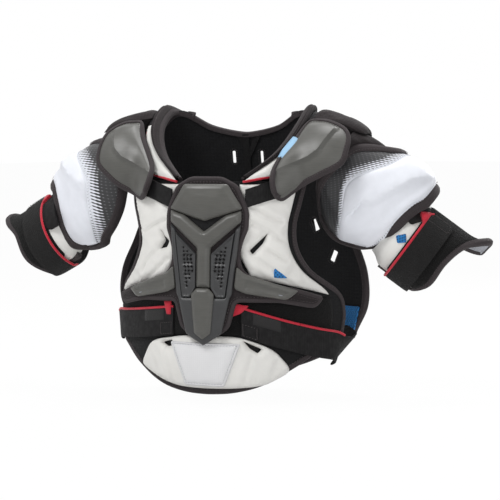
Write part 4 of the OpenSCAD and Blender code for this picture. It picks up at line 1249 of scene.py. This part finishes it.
for side in SIDES:
    put = placed(side)
    bit = sheet(mirrored(tether, side), 8, 24, PAD_OUT + 0.5, PAD_OUT + 3)
    obj = put("tether_band", bit, "elastic", "cap_tether", None)
    start, end = [(chest_arc(x, -105.0), -105.0) for x in (62.0, 98.0)]
    bridge(obj, "torso", f"{side}_cap", mirrored(chest, side), start, end, 17)

# Arms: outlines as pairs of arc and length along the sleeve
BICEP_NEAR = {"left": [[-84, 24], [-62, 0], [-40, -9], [-12, -10], [14, -9], [36, -2], [56, 17], [76, 39], [98, 51],
                       [135, 55]],
              "right": [[-84, 98], [-74, 84], [-66, 56], [-58, 24], [-45, 2], [-12, -6], [14, -6], [36, 2], [56, 21],
                        [76, 43], [98, 56], [135, 60]]}
BICEP_FAR = {"left": [[-84, 112], [-62, 121], [-40, 124], [-5, 123], [20, 126], [40, 132], [70, 132], [100, 131],
                      [135, 131]],
             "right": [[-84, 130], [-62, 148], [-40, 147], [-20, 137], [-2, 127], [20, 124], [40, 132], [70, 132],
                       [100, 131], [135, 131]]}
SEAM = {"left": [[-84, 74], [-46, 53], [-30, 37], [-17, 27], [-2, 28], [18, 39], [44, 54], [70, 62], [100, 69],
                 [135, 72]],
        "right": [[-84, 112], [-64, 98], [-46, 85], [-26, 70], [-10, 57], [16, 58], [45, 66], [70, 72], [100, 74],
                  [135, 74]]}
PALE = {"left": [[-110, 82], [-87, 75], [-46, 54], [-30, 36], [-17, 25], [-2, 26.5], [18, 38], [44, 53], [100, 69],
                 [150, 74]],
        "right": [[-110, 122], [-71, 108], [-46, 88], [-28, 70], [-6, 54], [24, 58], [62, 73], [100, 76], [150, 76]]}
RIDGE = curve([[58, -11], [70, -6], [84, 27], [97, 51], [116, 79]], 3)
BELOW_RIDGE = np.concatenate([RIDGE, [[128, 60], [126, -30], [100, -60], [60, -50]]])
BICEP_CORNER = {"left": 9, "right": 20}
FADE_W = {"left": lambda p: 4.5 + 11 * smooth(p[:, 1], -22, 8), "right": lambda p: 24 + 0 * p[:, 0]}


def bicep_face(p, d):
    return LINER - 1.6 + 1.6 * rise(d, 5) + 1.2 * smooth(d, 4, 20)


def white_face(p, d):
    k = distance(p, RIDGE, False)
    h = PAD_IN + 0.8 + 3.4 * np.sqrt(rise(d, 9)) + 2.6 * smooth(d, 6, 30)
    below = -3.4 * smooth(k, 0, 9) * (1 - smooth(k, 20, 44))
    return h + np.where(signed(p, BELOW_RIDGE) > 0, below, 1.2 * bump(k, 9)) * smooth(d, 2, 12)


def wrinkle(a, b):
    return 1.1 * np.sin(26 * b + 5 * a) * np.sin(np.pi * a) * np.sin(np.pi * b)


for side in SIDES:
    surf, body, hatch = (lambda t, a, h: in_sleeve(bicep(t, a, h, side), side)), f"{side}_arm", f"{side}_hatch"
    put = placed(side, body)
    v = np.linspace(0, 1, 120)
    near, far, seam = [even(spline(k[side], v)[:, ::-1], 3) for k in (BICEP_NEAR, BICEP_FAR, SEAM)]
    shell = even(rounded(np.concatenate([near[::-1], far]), BICEP_CORNER[side]), 3, True)
    pale_line = np.concatenate([curve(np.array(PALE[side])[:, ::-1], 4), [[220, 150], [220, -110]]])
    fade = lambda p: np.clip(1 + signed(p, pale_line) / FADE_W[side](p), 0, 1.3)
    bit = plate(surf, shell, 0, bicep_face, 4.5, (1.5, 4), fade=fade)
    put("bicep_shell", bit, hatch, "bicep_liner", inner="lining")
    put("bicep_binding", binding(surf, shell, -0.6, LINER + 2.2, 11, step=3, puff=2.2, out=4.5), "bind")
    stitches(body, surf, shell + inward(shell) * 8.6, LINER + 3.4, True)
    rim = np.concatenate([seam[seam[:, 1] > -76][::-1] + [1, 0], (far - [11, 0])[far[:, 1] > -70]])
    rim = even(rounded(rim[rim[:, 1] < 122], 8), 3, True)
    bit = plate(surf, rim, PAD_IN - 1.5, white_face, 3.2, (1, 2.5, 5, 8), (), [RIDGE[2:-2]], fade)
    put("bicep_moulding", bit, hatch, "bicep_plate")
    for off in (-2.2, -4.6):
        path = (seam + [off, 0])[(seam[:, 1] > -70) & (seam[:, 1] < 118)]
        stitches(body, surf, path, LINER + 1.4, False, 3.4, 2.3, 0.42, "pale")

    def gusset(u, v, h):
        turn = np.radians(lerp(70, 152, v))
        tilt = np.radians(lerp(lerp(104, 70, smooth(v, 0.55, 1)), 63, np.minimum(1, u / 0.7)))
        inner = stack(np.cos(tilt), -np.sin(tilt) * np.cos(turn), np.sin(tilt) * np.sin(turn))
        sewn = bicep(0 * v + 64, np.radians(lerp(62, 124, v)) * BICEP_ARC, -0.5 + h, side)
        return in_sleeve(lerp((GUSSET_R + h)[:, None] * inner, sewn, np.clip((u - 0.7) / 0.3, 0, 1)[:, None]), side)

    bit = sheet(gusset, 30, 36, lambda a, b: -2.4 + wrinkle(a, b), wrinkle)
    soft_sheet(f"{side}_gusset_cloth", "top", f"{side}_arm_gusset", bit, "torso", body, gusset,
               ((0.25, 0.5), (0.85, 0.5)))

    def front_gusset(u, v, h):
        turn, tilt = np.radians(lerp(26, 78, v)), np.radians(103.0)
        a = turn * BICEP_ARC
        top = stack(math.cos(tilt) + 0 * v, -math.sin(tilt) * np.cos(turn), math.sin(tilt) * np.sin(turn))
        low = bicep(np.interp(a, near[:, 1], near[:, 0]) - 0.4, a, 1.5 + 0 * v, side)
        p = lerp(GUSSET_FRONT_R * top, low, u[:, None])
        return in_sleeve(p + unit(p) * (4 * np.sin(np.pi * u) * v + h)[:, None], side)

    bit = sheet(front_gusset, 16, 24, lambda a, b: -1.8 + 0.5 * wrinkle(a, b), lambda a, b: 0.5 * wrinkle(a, b))
    soft_sheet(f"{side}_gusset_front", "top", None, bit, "torso", body, front_gusset,
               ((0.2, 0.6), (0.9, 0.6)))

# Lower arm guards
GUARD_FAR = {"left": [198, 213, 213, 224, 250, 252], "right": [198, 213, 216, 242, 254, 250]}
GUARD_NEAR = [116, 118, 118, 118, 118, 118]
GUARD_TUCK = {"left": (11, 140), "right": (17, 150)}
BAND_IN, BAND_OUT = 153, 193
KEEPER = {"left": [[131, 24], [131, 52], [150, 68], [156, 46], [140, 22]],
          "right": [[127, -14], [127, 52], [150, 68], [156, 44], [156, 2], [146, -14]]}
KEEPER_TAB = [[153, 31], [153, 53], [139, 43]]
GUARD_PATCH = [[131, -2], [141, 8], [149, -1], [139, -9]]


def ripple(a, b):
    return 0.9 * np.sin(22 * a + 4 * np.sin(9 * b)) * np.sin(np.pi * a)


for side in SIDES:
    surf, body, tongue = (lambda t, a, h: in_cuff(guard(t, a, h), side)), f"{side}_guard", f"{side}_arm_tongue"
    put = placed(side, body)
    v = np.linspace(0, 1, 80)
    a = np.radians(lerp(-80, 140, v)) * GUARD_ARC
    near, far = [even(pair(spline(k, v), a), 3) for k in (GUARD_NEAR, GUARD_FAR[side])]
    shell = even(rounded(np.concatenate([near[::-1], far]), 8), 3, True)
    deep, until = GUARD_TUCK[side]
    tuck = lambda p: deep * smooth(p[:, 0], until, 118)
    guard_face = lambda p, d: LINER - 2 + 2 * rise(d, 6) - tuck(p)
    bit = plate(surf, shell, lambda p, d: -0.7 * tuck(p), guard_face, 5, (1.5, 4))
    put("guard_shell", bit, "white", "arm_guard", inner="grey")
    out = shell[:, 0] > 134
    first, count = int(np.flatnonzero(out & ~np.roll(out, 1))[0]), int(out.sum())
    edge = np.roll(shell, -first, 0)[:count]
    put("guard_binding", binding(surf, edge, -0.4, LINER, 8, False, step=3, puff=1.6), "bind")
    stitches(body, surf, np.roll(shell + inward(shell) * 6, -first, 0)[2 : count - 2], LINER + 1.2)
    a0, a1 = -60 * math.pi / 180 * GUARD_ARC, 80 * math.pi / 180 * GUARD_ARC
    span = far[(far[:, 1] > a0) & (far[:, 1] < a1)]
    loop = even(rounded(np.concatenate([[[149, a1], [149, a0]], span - [7, 0]]), 5), 3, True)
    bit = plate(surf, loop, LINER - 1, bevel(LOOP_OUT - 1, LOOP_OUT, 2), 5, (1, 2.5))
    put("guard_fleece", bit, "loop", "guard_loop")

    def ring_at(u, v, h):
        turn = lerp(-222, -6, v)
        draw = np.where(turn < -80, 20 * np.sin(np.pi * (turn + 80) / 142), 0)
        return surf(lerp(BAND_IN, BAND_OUT, u), np.radians(turn) * GUARD_ARC, h + draw)

    def end_at(u, v, h):
        trim = 8 * np.maximum(0, (v - 0.86) / 0.14) ** 2.2
        return surf(lerp(BAND_IN + trim, BAND_OUT - trim, u), np.radians(lerp(-8, 60, v)) * GUARD_ARC, h)

    put("arm_band", sheet(ring_at, 8, 72, STRAP_IN, webbing(STRAP_IN)), "strap", "arm_strap")
    bit = sheet(end_at, 8, 26, STRAP_IN, webbing(STRAP_IN))
    obj = put("arm_band_end", bit, "strap", "arm_strap_end", None)
    bridge(obj, body, tongue, end_at, (0.5, 0.0), (0.5, 0.12), 12)
    for f, v0, v1, rider, name in ((ring_at, 0.62, 1.0, body, "band"), (end_at, 0.02, 0.97, tongue, "end")):
        put(f"{name}_piping", cord(f, level(0, v0, v1, 50), STRAP_IN + 1.3, 2.0, 1.7), "red", None, rider)
    box = dense([(0.1, 0.74), (0.9, 0.74), (0.9, 0.95), (0.1, 0.95)], 0.02)
    stitches(tongue, end_at, box, STRAP_OUT + 0.4, True, 0.07, 2.6)
    put("keeper_web", plate(surf, rounded(KEEPER[side], 4), LINER - 1, bevel(10.6, 11.2, 1.4), 3, (1,)), "web")
    put("keeper_tab", plate(surf, rounded(KEEPER_TAB, 1.5), LINER, bevel(14.8, 15.6, 1.4), 3, (1,)), "red")
    if side == "left":
        bit = plate(surf, rounded(GUARD_PATCH, 1.5), LINER - 1, 9.0, 2.5, (0.8,))
        make("left_guard_patch", bit, "blue", None, body)

    def sleeve_at(u, v, h):
        t = lerp(104, 168, u)
        r = 45.5 - 6 * smooth(t, 146, 122) + h
        return in_cuff(round_arm(t + 8, r, np.radians(lerp(-74, 130, v))), side)

    bit = sheet(sleeve_at, 20, 40, lambda a, b: -1.6 + ripple(a, b), ripple)
    soft_sheet(f"{side}_inner_sleeve", "quilt", None, bit, f"{side}_arm", body, sleeve_at,
               ((0.15, 0.4), (0.8, 0.4)))

for (body, shade), bits in THREADS.items():
    make(f"stitching_{shade}_{body}", joined(bits), shade, None, body, sharp=80)
blow()
for obj, body, puff, fill in SOFT:
    obj.vertex_groups.clear()
    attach(obj, body)
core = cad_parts["sternum_core"]
core.data.materials.clear()
core.data.materials.append(plain_solid("inner_foam", (0.012, 0.012, 0.013)))

# Camera at the photograph's viewing angle
az, el, dist = math.radians(18), math.radians(3), 3.2
right = Vector((math.cos(az), math.sin(az), 0))
toward = Vector((math.sin(az) * math.cos(el), -math.cos(az) * math.cos(el), math.sin(el)))
target = right * 0.030 + Vector((0, 0, -0.195))
lens = bpy.data.cameras.new("camera")
lens.lens, lens.sensor_width, lens.clip_end = 155.7, 36, 50
eye = bpy.data.objects.new("camera", lens)
eye.location = target + toward * dist
eye.rotation_euler = toward.to_track_quat("Z", "Y").to_euler()
scene.collection.objects.link(eye)
scene.camera = eye

# Pale floor, white surroundings for the camera, soft lamps
AMBIENT, FLOOR_GLOW = 0.27, 0.97
FLOOR_Z, FLOOR_CORNERS = -0.412, ((-12, -8), (12, -8), (12, 30), (-12, 30))
m = Mat("floor_white", (0.9, 0.9, 0.9))
v = m.space(1.0)
c = m.mix(m.noise(v, 3.0, 2), (0.88, 0.88, 0.88), m.base)
m.done(c, m.ramp(m.noise(v, 40.0, 2), 0.3, 0.7, 0.85, 0.95), 0.1, 0.0002, (m.noise(v, 300.0, 2), 1.0))
glow = m.node("Emission").outputs[0]
m.put(m.out.inputs["Surface"], m.mix_shaders(m.math("MULTIPLY", m.seen(), FLOOR_GLOW), m.bsdf.outputs[0], glow))
floor_mesh = bpy.data.meshes.new("floor")
floor_mesh.from_pydata([(x, y, FLOOR_Z) for x, y in FLOOR_CORNERS], [], [(0, 1, 2, 3)])
floor_mesh.materials.append(m.mat)
floor = bpy.data.objects.new("floor", floor_mesh)
scene.collection.objects.link(floor)

scene.world = bpy.data.worlds.new("studio")
sky = Graph(scene.world)
dim, white = [sky.node("Background", (1, 1, 1, 1), power).outputs[0] for power in (AMBIENT, 1.0)]
sky.node("OutputWorld", sky.mix_shaders(sky.seen(), dim, white))


def lamp(name, place, size, power):
    data = bpy.data.lights.new(name, "AREA")
    data.shape, data.size, data.energy = "SQUARE", size, power
    obj = bpy.data.objects.new(name, data)
    obj.location = place
    obj.rotation_euler = (Vector(place) - Vector((0, 0, -0.18))).to_track_quat("Z", "Y").to_euler()
    scene.collection.objects.link(obj)


lamp("key", (-1.1, -1.7, 2.2), 1.1, 50)
lamp("fill", (1.9, -1.7, 0.5), 1.8, 12)
lamp("crown", (0.2, 0.5, 2.2), 1.4, 36)
lamp("rim", (0.6, 2.2, 0.9), 1.4, 22)
